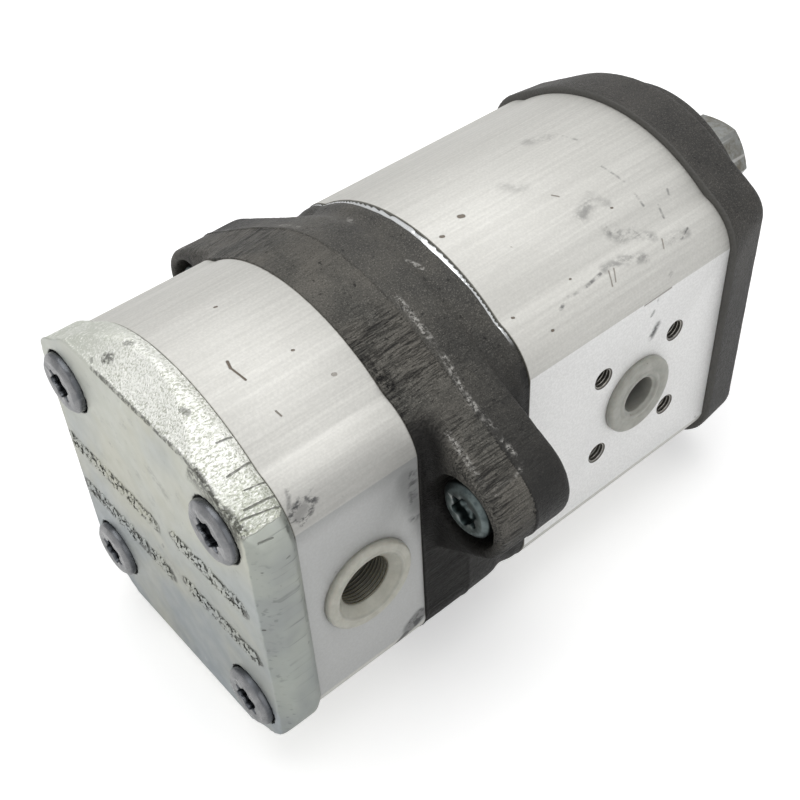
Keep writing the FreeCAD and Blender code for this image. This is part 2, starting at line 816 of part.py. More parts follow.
def woodruff_key():
    """Half-round key in the shaft's taper."""
    disc = key_disc()
    box = disc.BoundBox
    low_z = box.ZMin
    keep = Part.makeBox(box.XLength, box.YLength, key_height, vec(box.XMin, box.YMin, low_z))
    return disc.common(keep)


def front_driven_gear():
    """Driven gear of the front pump with its journals."""
    x_from, x_to = x_cover_back - journal_end_gap, x_front_body_back + journal_end_gap
    journal = rod(x_from, x_to, journal_radius, 0.0, driven_z)
    half_pitch = math.pi / tooth_count
    return join([journal, gear(x_front_gear, front_gear_width, driven_z, math.pi / 2 + half_pitch)])


def rear_drive_gear():
    """Drive gear of the rear pump with its journals, neck and tang."""
    tang_start = x_coupling - coupling_length / 2 - free_gap
    pieces = [
        rod(x_flange_back, x_rear_body_back + journal_end_gap, journal_radius),
        rod(x_flange_back - journal_radius, tang_start, neck_radius),
        tang(tang_start, x_coupling - free_gap / 2),
        gear(x_rear_gear, rear_gear_width, 0.0, -math.pi / 2),
    ]
    return join(pieces)


def rear_driven_gear():
    """Driven gear of the rear pump with its journals."""
    x_from, x_to = x_flange_back - journal_end_gap, x_rear_body_back + journal_end_gap
    journal = rod(x_from, x_to, journal_radius, 0.0, driven_z)
    half_pitch = math.pi / tooth_count
    return join([journal, gear(x_rear_gear, rear_gear_width, driven_z, math.pi / 2 + half_pitch)])


def coupling():
    """Slotted sleeve that both tangs drive."""
    low = x_coupling - coupling_length / 2
    slot_width = tang_width + 2 * coupling_slot_gap
    slot_height = 2 * (neck_radius + coupling_slot_gap)
    slot = Part.makeBox(coupling_length, slot_width, slot_height, vec(low, -slot_width / 2, -slot_height / 2))
    return rod(low, low + coupling_length, coupling_radius).cut(slot)


def shaft_seal():
    """Lip seal around the drive shaft, in the front cover."""
    low = -shaft_seal_floor
    ring = rod(low, low + shaft_seal_thickness, shaft_seal_radius)
    return ring.cut(rod(low, low + shaft_seal_thickness, journal_radius + running_gap))


def seal_retaining_ring():
    """Open snap ring in front of the shaft seal."""
    low = -shaft_seal_floor + shaft_seal_thickness + 2 * seat_gap
    outer = shaft_seal_radius + retaining_ring_bite
    ring = rod(low, low + retaining_ring_thickness, outer)
    ring = ring.cut(rod(low, low + retaining_ring_thickness, outer - retaining_ring_width))
    gap = Part.makeBox(retaining_ring_thickness, retaining_ring_gap, outer,
                       vec(low, -retaining_ring_gap / 2, -outer))
    return ring.cut(gap)


def shaft_washer():
    """Washer against the shoulder at the small end of the taper."""
    low = taper_start + taper_length
    disc = rod(low, low + washer_thickness, washer_radius)
    return disc.cut(rod(low, low + washer_thickness, thread_radius + seat_gap))


def shaft_nut():
    """Hexagonal nut with bevelled corners."""
    low = taper_start + taper_length + washer_thickness
    corner = nut_across_flats / math.sqrt(3)
    points = [vec(low, corner * math.cos(math.radians(60 * k)), corner * math.sin(math.radians(60 * k)))
              for k in range(7)]
    hexagon = Part.Face(Part.makePolygon(points)).extrude(vec(nut_height, 0, 0))
    flat = nut_across_flats / 2
    bevel = (corner - flat) * math.tan(math.radians(30.0))
    barrel = turned([
        (0.0, 0.0), (flat, 0.0), (corner, bevel), (corner, nut_height - bevel), (flat, nut_height),
        (0.0, nut_height),
    ], vec(low, 0, 0), vec(1, 0, 0))
    return hexagon.common(barrel).cut(rod(low, low + nut_height, thread_radius + seat_gap))


def front_section_screws():
    """Four screws that hold the adaptor and the front body on the front cover."""
    x_head = x_parting + front_screw_head_sink
    length = x_cover_back + front_screw_thread - x_head - front_screw_head_height
    return group([star_screw(x_head, front_screw_head_radius, front_screw_head_height, length, y, z)
                  for y, z in section_places()])


def rear_cover_screws():
    """Four screws that hold the rear cover and the rear body on the rear flange."""
    x_head = x_tail - cover_screw_head_proud
    length = x_flange_back + cover_screw_thread - x_head - cover_screw_head_height
    return group([star_screw(x_head, cover_screw_head_radius, cover_screw_head_height, length, y, z)
                  for y, z in section_places()])


def lug_screws():
    """Two screws that clamp the rear flange on the adaptor."""
    x_head = x_parting - lug_rear_thickness + lug_screw_head_sink
    length = x_parting + lug_screw_thread - x_head - lug_screw_head_height
    return group([star_screw(x_head, lug_screw_head_radius, lug_screw_head_height, length,
                             side * lug_reach, 0.0) for side in (-1, 1)])


def dowel_pins():
    """Two dowels in each of the four joints between a body and its covers."""
    half = dowel_length / 2
    joints = (x_cover_back, x_front_body_back, x_flange_back, x_rear_body_back)
    return group([rod(x - half, x + half, dowel_radius, y, z) for x in joints for y, z in dowel_places()])


def push_plug(side, flange, stem_radius, recess):
    """A push-in plug for a plain port, with a blind recess in its face."""
    recess_floor = plug_flange_height - front_plug_recess_depth
    profile = [
        (recess, plug_flange_height), (flange - plug_edge, plug_flange_height),
        (flange, plug_flange_height - plug_edge), (flange, 0.0), (stem_radius, 0.0),
        (stem_radius, -front_plug_stem), (0.0, -front_plug_stem),
        (0.0, recess_floor), (recess, recess_floor),
    ]
    return turned(profile, vec(x_front_port, side * port_face_y, middle_z), vec(0, side, 0))


def screw_plug(side, flange, stem_radius, hole, mouth):
    """A screw-in plug for a threaded port, hollow and closed at its inner end."""
    mouth_end = plug_flange_height - (mouth - hole)
    profile = [
        (hole, mouth_end), (mouth, plug_flange_height), (flange - plug_edge, plug_flange_height),
        (flange, plug_flange_height - plug_edge), (flange, 0.0), (stem_radius, 0.0),
        (stem_radius, -rear_plug_stem), (0.0, -rear_plug_stem), (0.0, plug_floor - rear_plug_stem),
        (hole, plug_floor - rear_plug_stem),
    ]
    return turned(profile, vec(x_rear_port, side * port_face_y, middle_z), vec(0, side, 0))


front_faces = pump_blocks(x_cover_back, x_front_body_back, front_gear_width)
rear_faces = pump_blocks(x_flange_back, x_rear_body_back, rear_gear_width)

nodes = {
    "front_cover": front_cover(),
    "shaft_seal": shaft_seal(),
    "seal_retaining_ring": seal_retaining_ring(),
    "front_body": front_body(),
    "front_bearing_block_front": bearing_block(*front_faces[0]),
    "front_bearing_block_rear": bearing_block(*front_faces[1]),
    "front_bushes": bushes(front_faces),
    "front_axial_seals": axial_seals(front_faces),
    "front_backup_rings": backup_rings(front_faces),
    "front_body_seals": group([body_seal_ring(x_cover_back, -1), body_seal_ring(x_front_body_back, 1)]),
    "adaptor": adaptor(),
    "front_section_screws": front_section_screws(),
    "interface_o_ring": o_ring(),
    "rear_flange": rear_flange(),
    "lug_screws": lug_screws(),
    "rear_body": rear_body(),
    "rear_bearing_block_front": bearing_block(*rear_faces[0]),
    "rear_bearing_block_rear": bearing_block(*rear_faces[1]),
    "rear_bushes": bushes(rear_faces),
    "rear_axial_seals": axial_seals(rear_faces),
    "rear_backup_rings": backup_rings(rear_faces),
    "rear_body_seals": group([body_seal_ring(x_flange_back, -1), body_seal_ring(x_rear_body_back, 1)]),
    "rear_cover": rear_cover(),
    "rear_cover_screws": rear_cover_screws(),
    "dowel_pins": dowel_pins(),
    "front_outlet_plug": push_plug(-1, front_plug_flange, front_outlet_radius - seat_gap, front_plug_recess),
    "front_inlet_plug": push_plug(1, inlet_plug_flange, front_inlet_radius - seat_gap, inlet_plug_recess),
    "rear_outlet_plug": screw_plug(-1, rear_plug_flange, rear_outlet_radius - seat_gap, rear_plug_hole,
                                   rear_plug_mouth),
    "rear_inlet_plug": screw_plug(1, rear_inlet_plug_flange, rear_inlet_radius - seat_gap,
                                  rear_inlet_plug_hole, rear_inlet_plug_mouth),
    "front_drive_gear": front_drive_gear(),
    "woodruff_key": woodruff_key(),
    "shaft_washer": shaft_washer(),
    "shaft_nut": shaft_nut(),
    "front_driven_gear": front_driven_gear(),
    "coupling": coupling(),
    "rear_drive_gear": rear_drive_gear(),
    "rear_driven_gear": rear_driven_gear(),
}

os.makedirs("parts", exist_ok=True)
for name, shape in nodes.items():
    shape.exportStep("parts/" + name + ".step")
    print(name, len(shape.Solids), round(shape.Volume), shape.isValid())
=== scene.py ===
"""Looks of a tandem gear pump: castings, extruded bodies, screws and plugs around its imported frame.

Lengths are in metres, in the pump's own frame: +X runs out of the drive shaft, +Z is up, and the outlet
ports face -Y. Small sizes are written in millimetres and multiplied by MM.
"""

from __future__ import annotations

import json
import logging
import math
from collections.abc import Callable, Sequence
from dataclasses import dataclass, field, replace
from enum import Enum
from functools import reduce

import bmesh
import bpy
from mathutils import Matrix, Vector


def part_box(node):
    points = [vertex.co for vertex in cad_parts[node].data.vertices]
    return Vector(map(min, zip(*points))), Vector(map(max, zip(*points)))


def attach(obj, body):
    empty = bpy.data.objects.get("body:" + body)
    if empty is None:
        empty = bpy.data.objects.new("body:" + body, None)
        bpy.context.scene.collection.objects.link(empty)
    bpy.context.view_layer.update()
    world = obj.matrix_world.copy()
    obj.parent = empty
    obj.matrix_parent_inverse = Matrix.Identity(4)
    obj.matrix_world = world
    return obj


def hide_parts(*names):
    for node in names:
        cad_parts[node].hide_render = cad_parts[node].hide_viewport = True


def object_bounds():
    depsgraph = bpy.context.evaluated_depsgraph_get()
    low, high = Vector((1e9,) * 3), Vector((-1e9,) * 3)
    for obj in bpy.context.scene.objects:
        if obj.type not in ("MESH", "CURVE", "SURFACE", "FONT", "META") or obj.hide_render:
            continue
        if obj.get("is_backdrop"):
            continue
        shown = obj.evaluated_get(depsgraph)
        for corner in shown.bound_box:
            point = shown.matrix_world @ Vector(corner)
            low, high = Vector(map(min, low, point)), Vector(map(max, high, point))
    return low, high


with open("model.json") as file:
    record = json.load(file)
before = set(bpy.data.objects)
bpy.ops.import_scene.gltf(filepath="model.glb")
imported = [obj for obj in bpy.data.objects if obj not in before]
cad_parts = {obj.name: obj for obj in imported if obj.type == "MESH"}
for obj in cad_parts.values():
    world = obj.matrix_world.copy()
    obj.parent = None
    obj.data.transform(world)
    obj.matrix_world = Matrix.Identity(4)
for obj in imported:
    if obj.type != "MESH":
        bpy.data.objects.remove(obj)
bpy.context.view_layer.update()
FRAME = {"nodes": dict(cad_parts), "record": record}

LOG = logging.getLogger("pump")
MM = 0.001
HOUSING = "housing"
DRIVE_SHAFT = "drive_shaft"
MERGE_GAP = 0.002 * MM
SHARP_ANGLE = math.radians(32.0)
Colour = tuple[float, float, float, float]


class Side(Enum):
    """The two port sides of the pump, with the sign of Y that each faces."""

    OUTLET = -1
    INLET = 1


def srgb(red: float, green: float, blue: float) -> Colour:
    """Turns a colour as it shows on a screen into a shader's colour.

    Args:
        red: The red part, 0 to 255.
        green: The green part, 0 to 255.
        blue: The blue part, 0 to 255.

    Returns:
        The linear colour, with full alpha.
    """
    parts = []
    for value in (red, green, blue):
        share = value / 255.0
        parts.append(share / 12.92 if share <= 0.04045 else ((share + 0.055) / 1.055) ** 2.4)
    return (parts[0], parts[1], parts[2], 1.0)


class Graph:
    """A short way to add and join the nodes of one tree."""

    def __init__(self, tree: bpy.types.NodeTree) -> None:
        """Works on this tree."""
        self.tree = tree

    def add(self, kind: str, feeds: dict[str | int, object] | None = None,
            **settings: object) -> bpy.types.Node:
        """Adds a node.

        Args:
            kind: The node's type name.
            feeds: What its inputs get, by their name or number: another socket or a value.
            settings: Properties of the node.

        Returns:
            The new node.
        """
        node = self.tree.nodes.new(kind)
        for name, value in settings.items():
            setattr(node, name, value)
        for name, value in (feeds or {}).items():
            self.feed(node.inputs[name], value)
        return node

    def feed(self, socket: bpy.types.NodeSocket, value: object) -> None:
        """Joins a socket to another one, or sets its value.

        Args:
            socket: The input to feed.
            value: Another node's output, or a plain value.
        """
        if isinstance(value, bpy.types.NodeSocket):
            self.tree.links.new(value, socket)
        else:
            socket.default_value = value

    def math(self, operation: str, first: object, second: object = 0.0,
             clamp: bool = False) -> bpy.types.NodeSocket:
        """Works out one value from two."""
        feeds = {0: first, 1: second}
        return self.add("ShaderNodeMath", feeds, operation=operation, use_clamp=clamp).outputs[0]

    def times(self, *factors: object) -> bpy.types.NodeSocket:
        """Multiplies two or more values."""
        return reduce(lambda first, second: self.math("MULTIPLY", first, second), factors)

    def highest(self, *values: object) -> bpy.types.NodeSocket:
        """Returns the highest of two or more values."""
        return reduce(lambda first, second: self.math("MAXIMUM", first, second), values)

    def rest_of(self, share: object) -> bpy.types.NodeSocket:
        """Returns what is left of one beside a share."""
        return self.math("SUBTRACT", 1.0, share)

    def vector(self, operation: str, first: object, second: object) -> bpy.types.NodeSocket:
        """Works out one vector from two."""
        return self.add("ShaderNodeVectorMath", {0: first, 1: second}, operation=operation).outputs[0]

    def measure(self, operation: str, first: object, second: object) -> bpy.types.NodeSocket:
        """Works out one value from two vectors."""
        feeds = {0: first, 1: second}
        return self.add("ShaderNodeVectorMath", feeds, operation=operation).outputs["Value"]

    def scaled(self, vector: object, factor: object) -> bpy.types.NodeSocket:
        """Multiplies a vector by a value."""
        return self.add("ShaderNodeVectorMath", {0: vector, "Scale": factor}, operation="SCALE").outputs[0]

    def stretched(self, where: object, along: Sequence[float]) -> bpy.types.NodeSocket:
        """Scales a place by a factor for each axis, so that a pattern on it is drawn out."""
        return self.vector("MULTIPLY", where, tuple(along))

    def turned(self, where: object, turn: Sequence[float], along: Sequence[float]) -> bpy.types.NodeSocket:
        """Turns a place by degrees about each axis and scales it, for a pattern that lies askew."""
        feeds = {"Vector": where, "Rotation": tuple(map(math.radians, turn)), "Scale": tuple(along)}
        return self.add("ShaderNodeMapping", feeds).outputs[0]

    def ramp(self, value: object, low: object, high: object, start: object = 0.0,
             end: object = 1.0) -> bpy.types.NodeSocket:
        """Maps low..high to start..end smoothly, held at both ends."""
        feeds = dict(enumerate((value, low, high, start, end)))
        return self.add("ShaderNodeMapRange", feeds, interpolation_type="SMOOTHSTEP").outputs[0]

    def mix(self, share: object, first: object, second: object) -> bpy.types.NodeSocket:
        """Mixes a share of the second colour into the first."""
        return self.add("ShaderNodeMix", {0: share, 6: first, 7: second}, data_type="RGBA").outputs[2]

    def noise(self, where: object, scale: object, detail: float = 2.0, rough: float = 0.5,
              twist: float = 0.0) -> bpy.types.NodeSocket:
        """Adds a noise texture and returns its value, about 0.5 on average."""
        feeds = {"Vector": where, "Scale": scale, "Detail": detail, "Roughness": rough, "Distortion": twist}
        return self.add("ShaderNodeTexNoise", feeds).outputs[0]

    def place(self) -> bpy.types.NodeSocket:
        """Returns the place on the pump that is being coloured, in the pump's own frame."""
        return self.add("ShaderNodeTexCoord").outputs["Object"]

    def part_of(self, where: object, axis: str) -> bpy.types.NodeSocket:
        """Returns one coordinate of a place, the axis being X, Y or Z."""
        return self.add("ShaderNodeSeparateXYZ", {0: where}).outputs[axis]

    def vector_of(self, *parts: object) -> bpy.types.NodeSocket:
        """Joins up to three values into a vector, the rest of it being zero."""
        return self.add("ShaderNodeCombineXYZ", dict(enumerate(parts))).outputs[0]


def empty_graph(holder: bpy.types.Material | bpy.types.World) -> Graph:
    """Gives a material or a world an empty tree of nodes.

    Args:
        holder: The material or the world.

    Returns:
        The graph of its tree.
    """
    holder.use_nodes = True
    holder.node_tree.nodes.clear()
    return Graph(holder.node_tree)


FLOAT = "NodeSocketFloat"
COUNT = "NodeSocketInt"
VECTOR = "NodeSocketVector"
GEOMETRY = "NodeSocketGeometry"
SHADER_TREE = "ShaderNodeTree"
GEOMETRY_TREE = "GeometryNodeTree"


class Group(Graph):
    """A node group in the making, with named inputs and outputs."""

    def __init__(self, name: str, kind: str, inputs: Sequence[tuple[str, str, object]],
                 outputs: Sequence[tuple[str, str]]) -> None:
        """Starts the group.

        Args:
            name: The group's name.
            kind: Its tree type.
            inputs: Name, socket type and default of each input.
            outputs: Name and socket type of each output.
        """
        super().__init__(bpy.data.node_groups.new(name, kind))
        for label, socket_type, default in inputs:
            socket = self.tree.interface.new_socket(name=label, in_out="INPUT", socket_type=socket_type)
            if default is not None:
                socket.default_value = default
        for label, socket_type in outputs:
            self.tree.interface.new_socket(name=label, in_out="OUTPUT", socket_type=socket_type)
        self.given = self.add("NodeGroupInput").outputs
        self.made = self.add("NodeGroupOutput").inputs

    def give(self, name: str, value: object) -> None:
        """Puts a value out under this name."""
        self.feed(self.made[name], value)


class Effects:
    """The shader effects that several finishes share, each a node group that is built once."""

    def __init__(self) -> None:
        """Builds all the groups."""
        self.grain = self._grain()
        self.lines = self._lines()
        self.wear = self._wear()
        self.specks = self._specks()
        self.stroke = self._stroke()

    @staticmethod
    def _grain() -> bpy.types.NodeTree:
        """Rounded lumps of two sizes, as sand or a blasted die leaves them.

        Returns:
            The group, which puts out a height and a broad shade.
        """
        inputs = [("Scale", FLOAT, 900.0), ("Coarseness", FLOAT, 0.5)]
        group = Group("cast_grain", SHADER_TREE, inputs, [("Height", FLOAT), ("Shade", FLOAT)])
        place = group.place()
        scale = group.given["Scale"]
        fine = group.noise(place, scale, 4.0, 0.6)
        feeds = {"Vector": place, "Scale": group.times(scale, 0.55)}
        cells = group.add("ShaderNodeTexVoronoi", feeds, feature="SMOOTH_F1")
        lumps = group.times(cells.outputs["Distance"], group.given["Coarseness"])
        group.give("Height", group.math("SUBTRACT", fine, lumps))
        group.give("Shade", group.ramp(group.noise(place, group.times(scale, 0.05), 3.0), 0.3, 0.7))
        return group.tree

    @staticmethod
    def _lines() -> bpy.types.NodeTree:
        """Fine lines that run along X, as drawing or grinding leaves them.

        Returns:
            The group, which puts out a height.
        """
        inputs = [("Scale", FLOAT, 800.0), ("Length", FLOAT, 30.0)]
        group = Group("drawn_lines", SHADER_TREE, inputs, [("Height", FLOAT)])
        squeeze = group.vector_of(group.math("DIVIDE", 1.0, group.given["Length"]), 1.0, 1.0)
        drawn = group.vector("MULTIPLY", group.place(), squeeze)
        group.give("Height", group.noise(drawn, group.given["Scale"], 3.0, 0.65))
        return group.tree

    @staticmethod
    def _wear() -> bpy.types.NodeTree:
        """Where edges stand out and the finish is rubbed off in patches.

        Returns:
            The group, which puts out a mask.
        """
        inputs = [("Start", FLOAT, 0.52), ("Full", FLOAT, 0.6), ("Patch scale", FLOAT, 300.0),
                  ("Patch share", FLOAT, 0.5)]
        group = Group("edge_wear", SHADER_TREE, inputs, [("Mask", FLOAT)])
        given = group.given
        sharp = group.add("ShaderNodeNewGeometry").outputs["Pointiness"]
        edge = group.ramp(sharp, given["Start"], given["Full"])
        patches = group.noise(group.place(), given["Patch scale"], 4.0, 0.7)
        low = group.math("SUBTRACT", 0.75, group.times(given["Patch share"], 0.5))
        kept = group.ramp(patches, group.math("SUBTRACT", low, 0.06), group.math("ADD", low, 0.06))
        group.give("Mask", group.times(edge, kept))
        return group.tree

    @staticmethod
    def _specks() -> bpy.types.NodeTree:
        """Small separate spots, of which only a share shows.

        Returns:
            The group, which puts out a mask.
        """
        inputs = [("Scale", FLOAT, 200.0), ("Size", FLOAT, 0.15), ("Share", FLOAT, 0.2)]
        group = Group("specks", SHADER_TREE, inputs, [("Mask", FLOAT)])
        place = group.place()
        drift = group.add("ShaderNodeTexNoise", {"Vector": place, "Scale": 900.0}).outputs["Color"]
        bent = group.vector("ADD", place, group.stretched(drift, [2.0 * MM] * 3))
        cells = group.add("ShaderNodeTexVoronoi", {"Vector": bent, "Scale": group.given["Scale"]})
        draw = group.add("ShaderNodeSeparateColor", {0: cells.outputs["Color"]}).outputs
        size = group.times(group.given["Size"], draw[1])
        spot = group.ramp(cells.outputs["Distance"], size, group.times(size, 0.5))
        chosen = group.math("LESS_THAN", draw[0], group.given["Share"])
        group.give("Mask", group.times(spot, chosen))
        return group.tree

    @staticmethod
    def _flattened(group: Group, gap: object, through: object) -> bpy.types.NodeSocket:
        """Shortens a gap along one direction, by the square of that direction's length."""
        share = group.measure("DOT_PRODUCT", gap, through)
        return group.vector("SUBTRACT", gap, group.scaled(through, share))

    def _stroke(self) -> bpy.types.NodeTree:
        """A mark drawn from one place to another: a thin scratch, a pit or a wide soft smear.

        Returns:
            The group, which puts out a mask.
        """
        inputs = [("From", VECTOR, (0.0, 0.0, 0.0)), ("To", VECTOR, (0.0, 0.0, 0.01)),
                  ("Width", FLOAT, 0.001), ("Softness", FLOAT, 0.5), ("Breakup", FLOAT, 1.0),
                  ("Strength", FLOAT, 1.0), ("Through", VECTOR, (0.0, 0.0, 0.0))]
        group = Group("stroke", SHADER_TREE, inputs, [("Mask", FLOAT)])
        given = group.given
        through = given["Through"]
        away = self._flattened(group, group.vector("SUBTRACT", group.place(), given["From"]), through)
        course = self._flattened(group, group.vector("SUBTRACT", given["To"], given["From"]), through)
        reached = group.measure("DOT_PRODUCT", away, course)
        share = group.math("DIVIDE", reached, group.measure("DOT_PRODUCT", course, course), clamp=True)
        gap = group.measure("DISTANCE", away, group.scaled(course, share))
        core = group.times(given["Width"], group.rest_of(given["Softness"]))
        near = group.ramp(gap, given["Width"], core)
        group.give("Mask", group.times(near, given["Breakup"], given["Strength"]))
        return group.tree


Point = tuple[float, float, float]
NO_DIRECTION: Point = (0.0, 0.0, 0.0)


def in_metres(point: Point) -> Point:
    """Turns a place in millimetres into metres."""
    return (point[0] * MM, point[1] * MM, point[2] * MM)


def across_the_pump(point: Point) -> Point:
    """Returns the like place or direction on the pump's other side."""
    return (point[0], -point[1], point[2])


@dataclass(frozen=True)
class Mark:
    """A mark on a surface, from one place to another, in millimetres.

    A broken mark is crumbled by its finish. A mark with a through direction counts only gaps across it, so
    that it stays whole where its places lie a little off the surface.
    """

    start: Point
    end: Point
    width: float
    strength: float = 0.7
    softness: float = 0.5
    broken: bool = True
    through: Point = NO_DIRECTION

    def mirrored(self, strength: float) -> Mark:
        """Returns a like mark on the pump's other side, at a share of this one's strength."""
        turned = {name: across_the_pump(getattr(self, name)) for name in ("start", "end", "through")}
        return replace(self, strength=self.strength * strength, **turned)


def smear(start: Point, end: Point, width: float, strength: float = 0.6) -> Mark:
    """A wide, soft smear of dirt."""
    return Mark(start, end, width, strength, 0.9)


def scratch(start: Point, end: Point, width: float = 0.3, strength: float = 0.85,
            through: Point = NO_DIRECTION) -> Mark:
    """A thin dark line."""
    return Mark(start, end, width, strength, 0.6, False, through)


def pit(place: Point, width: float, strength: float = 0.85) -> Mark:
    """A small dark hole in the skin, a little longer than wide."""
    return Mark(place, (place[0] + width, place[1] - width * 0.4, place[2]), width, strength, 0.4, False)


def hole_shade(mouth: Point, inward: float, radius: float) -> Mark:
    """Paints shade on the wall of a hole along Y, darker with its depth.

    Args:
        mouth: The middle of the hole's mouth.
        inward: The sign of Y that leads into the hole.
        radius: The hole's radius.

    Returns:
        The mark, which a finish keeps off the face around the mouth.
    """
    end = (mouth[0], mouth[1] + inward * 6.0 * radius, mouth[2])
    return Mark(mouth, end, 1.5 * radius, 0.9, 0.2, False)


def trail(places: Sequence[Point], width: float, strength: float = 0.8,
          through: Point = NO_DIRECTION) -> tuple[Mark, ...]:
    """A worn line through several places."""
    pairs = zip(places, places[1:])
    return tuple(Mark(start, end, width, strength, 0.8, True, through) for start, end in pairs)


class Painter:
    """One material in the making: its graph, its shader and the shared effects."""

    def __init__(self, name: str, effects: Effects) -> None:
        """Starts a material.

        Args:
            name: The material's name.
            effects: The shared effects.
        """
        self.material = bpy.data.materials.new(name)
        self.graph = empty_graph(self.material)
        self.effects = effects
        self.shader = self.graph.add("ShaderNodeBsdfPrincipled")
        self.graph.add("ShaderNodeOutputMaterial", {"Surface": self.shader.outputs[0]})
        self.place = self.graph.place()
        self.tone: object = srgb(128, 128, 128)

    def effect(self, tree: bpy.types.NodeTree, output: str, **values: object) -> bpy.types.NodeSocket:
        """Places a shared effect with its own values.

        Args:
            tree: The effect's node group.
            output: The name of the output that is wanted.
            values: Its inputs, spaces in their names written as underscores.

        Returns:
            The output's socket.
        """
        feeds = {name.replace("_", " "): value for name, value in values.items()}
        return self.graph.add("ShaderNodeGroup", feeds, node_tree=tree).outputs[output]

    def marked(self, marks: Sequence[Mark], breakup: object) -> bpy.types.NodeSocket:
        """Returns the mask of several marks together.

        Args:
            marks: The marks.
            breakup: A value that breaks up the marks that aren't whole.

        Returns:
            The joint mask.
        """
        total: object = 0.0
        for mark in marks:
            mask = self.effect(
                self.effects.stroke, "Mask", From=in_metres(mark.start), To=in_metres(mark.end),
                Width=mark.width * MM, Softness=mark.softness, Strength=mark.strength,
                Breakup=breakup if mark.broken else 1.0, Through=mark.through)
            total = self.graph.highest(total, mask)
        return total

    def cover(self, colour: object, mask: object) -> None:
        """Lays a colour over the tone so far, where the mask lets it."""
        self.tone = self.graph.mix(mask, self.tone, colour)

    def surface(self, rough: object, metal: object) -> None:
        """Gives the shader the tone, and sets its roughness and metal share."""
        for name, value in {"Base Color": self.tone, "Roughness": rough, "Metallic": metal}.items():
            self.graph.feed(self.shader.inputs[name], value)

    def bump(self, *layers: tuple[object, float]) -> None:
        """Stacks bumps.

        Args:
            layers: For each bump its height, from 0 to 1, and the depth in metres that it stands for.
        """
        below: dict[str | int, object] = {}
        for height, depth in layers:
            feeds = {"Strength": 1.0, "Distance": depth, "Height": height, **below}
            below = {"Normal": self.graph.add("ShaderNodeBump", feeds).outputs[0]}
        self.graph.feed(self.shader.inputs["Normal"], below["Normal"])


@dataclass(frozen=True)
class Finish:
    """What a surface looks like, as a material that can be built for several pieces."""

    name: str

    def fill(self, paint: Painter) -> None:
        """Adds the nodes of this finish to a material.

        Args:
            paint: The material in the making.
        """
        raise NotImplementedError

    def make(self, effects: Effects) -> bpy.types.Material:
        """Builds the material.

        Args:
            effects: The shared effects.

        Returns:
            The material.
        """
        paint = Painter(self.name, effects)
        self.fill(paint)
        return paint.material


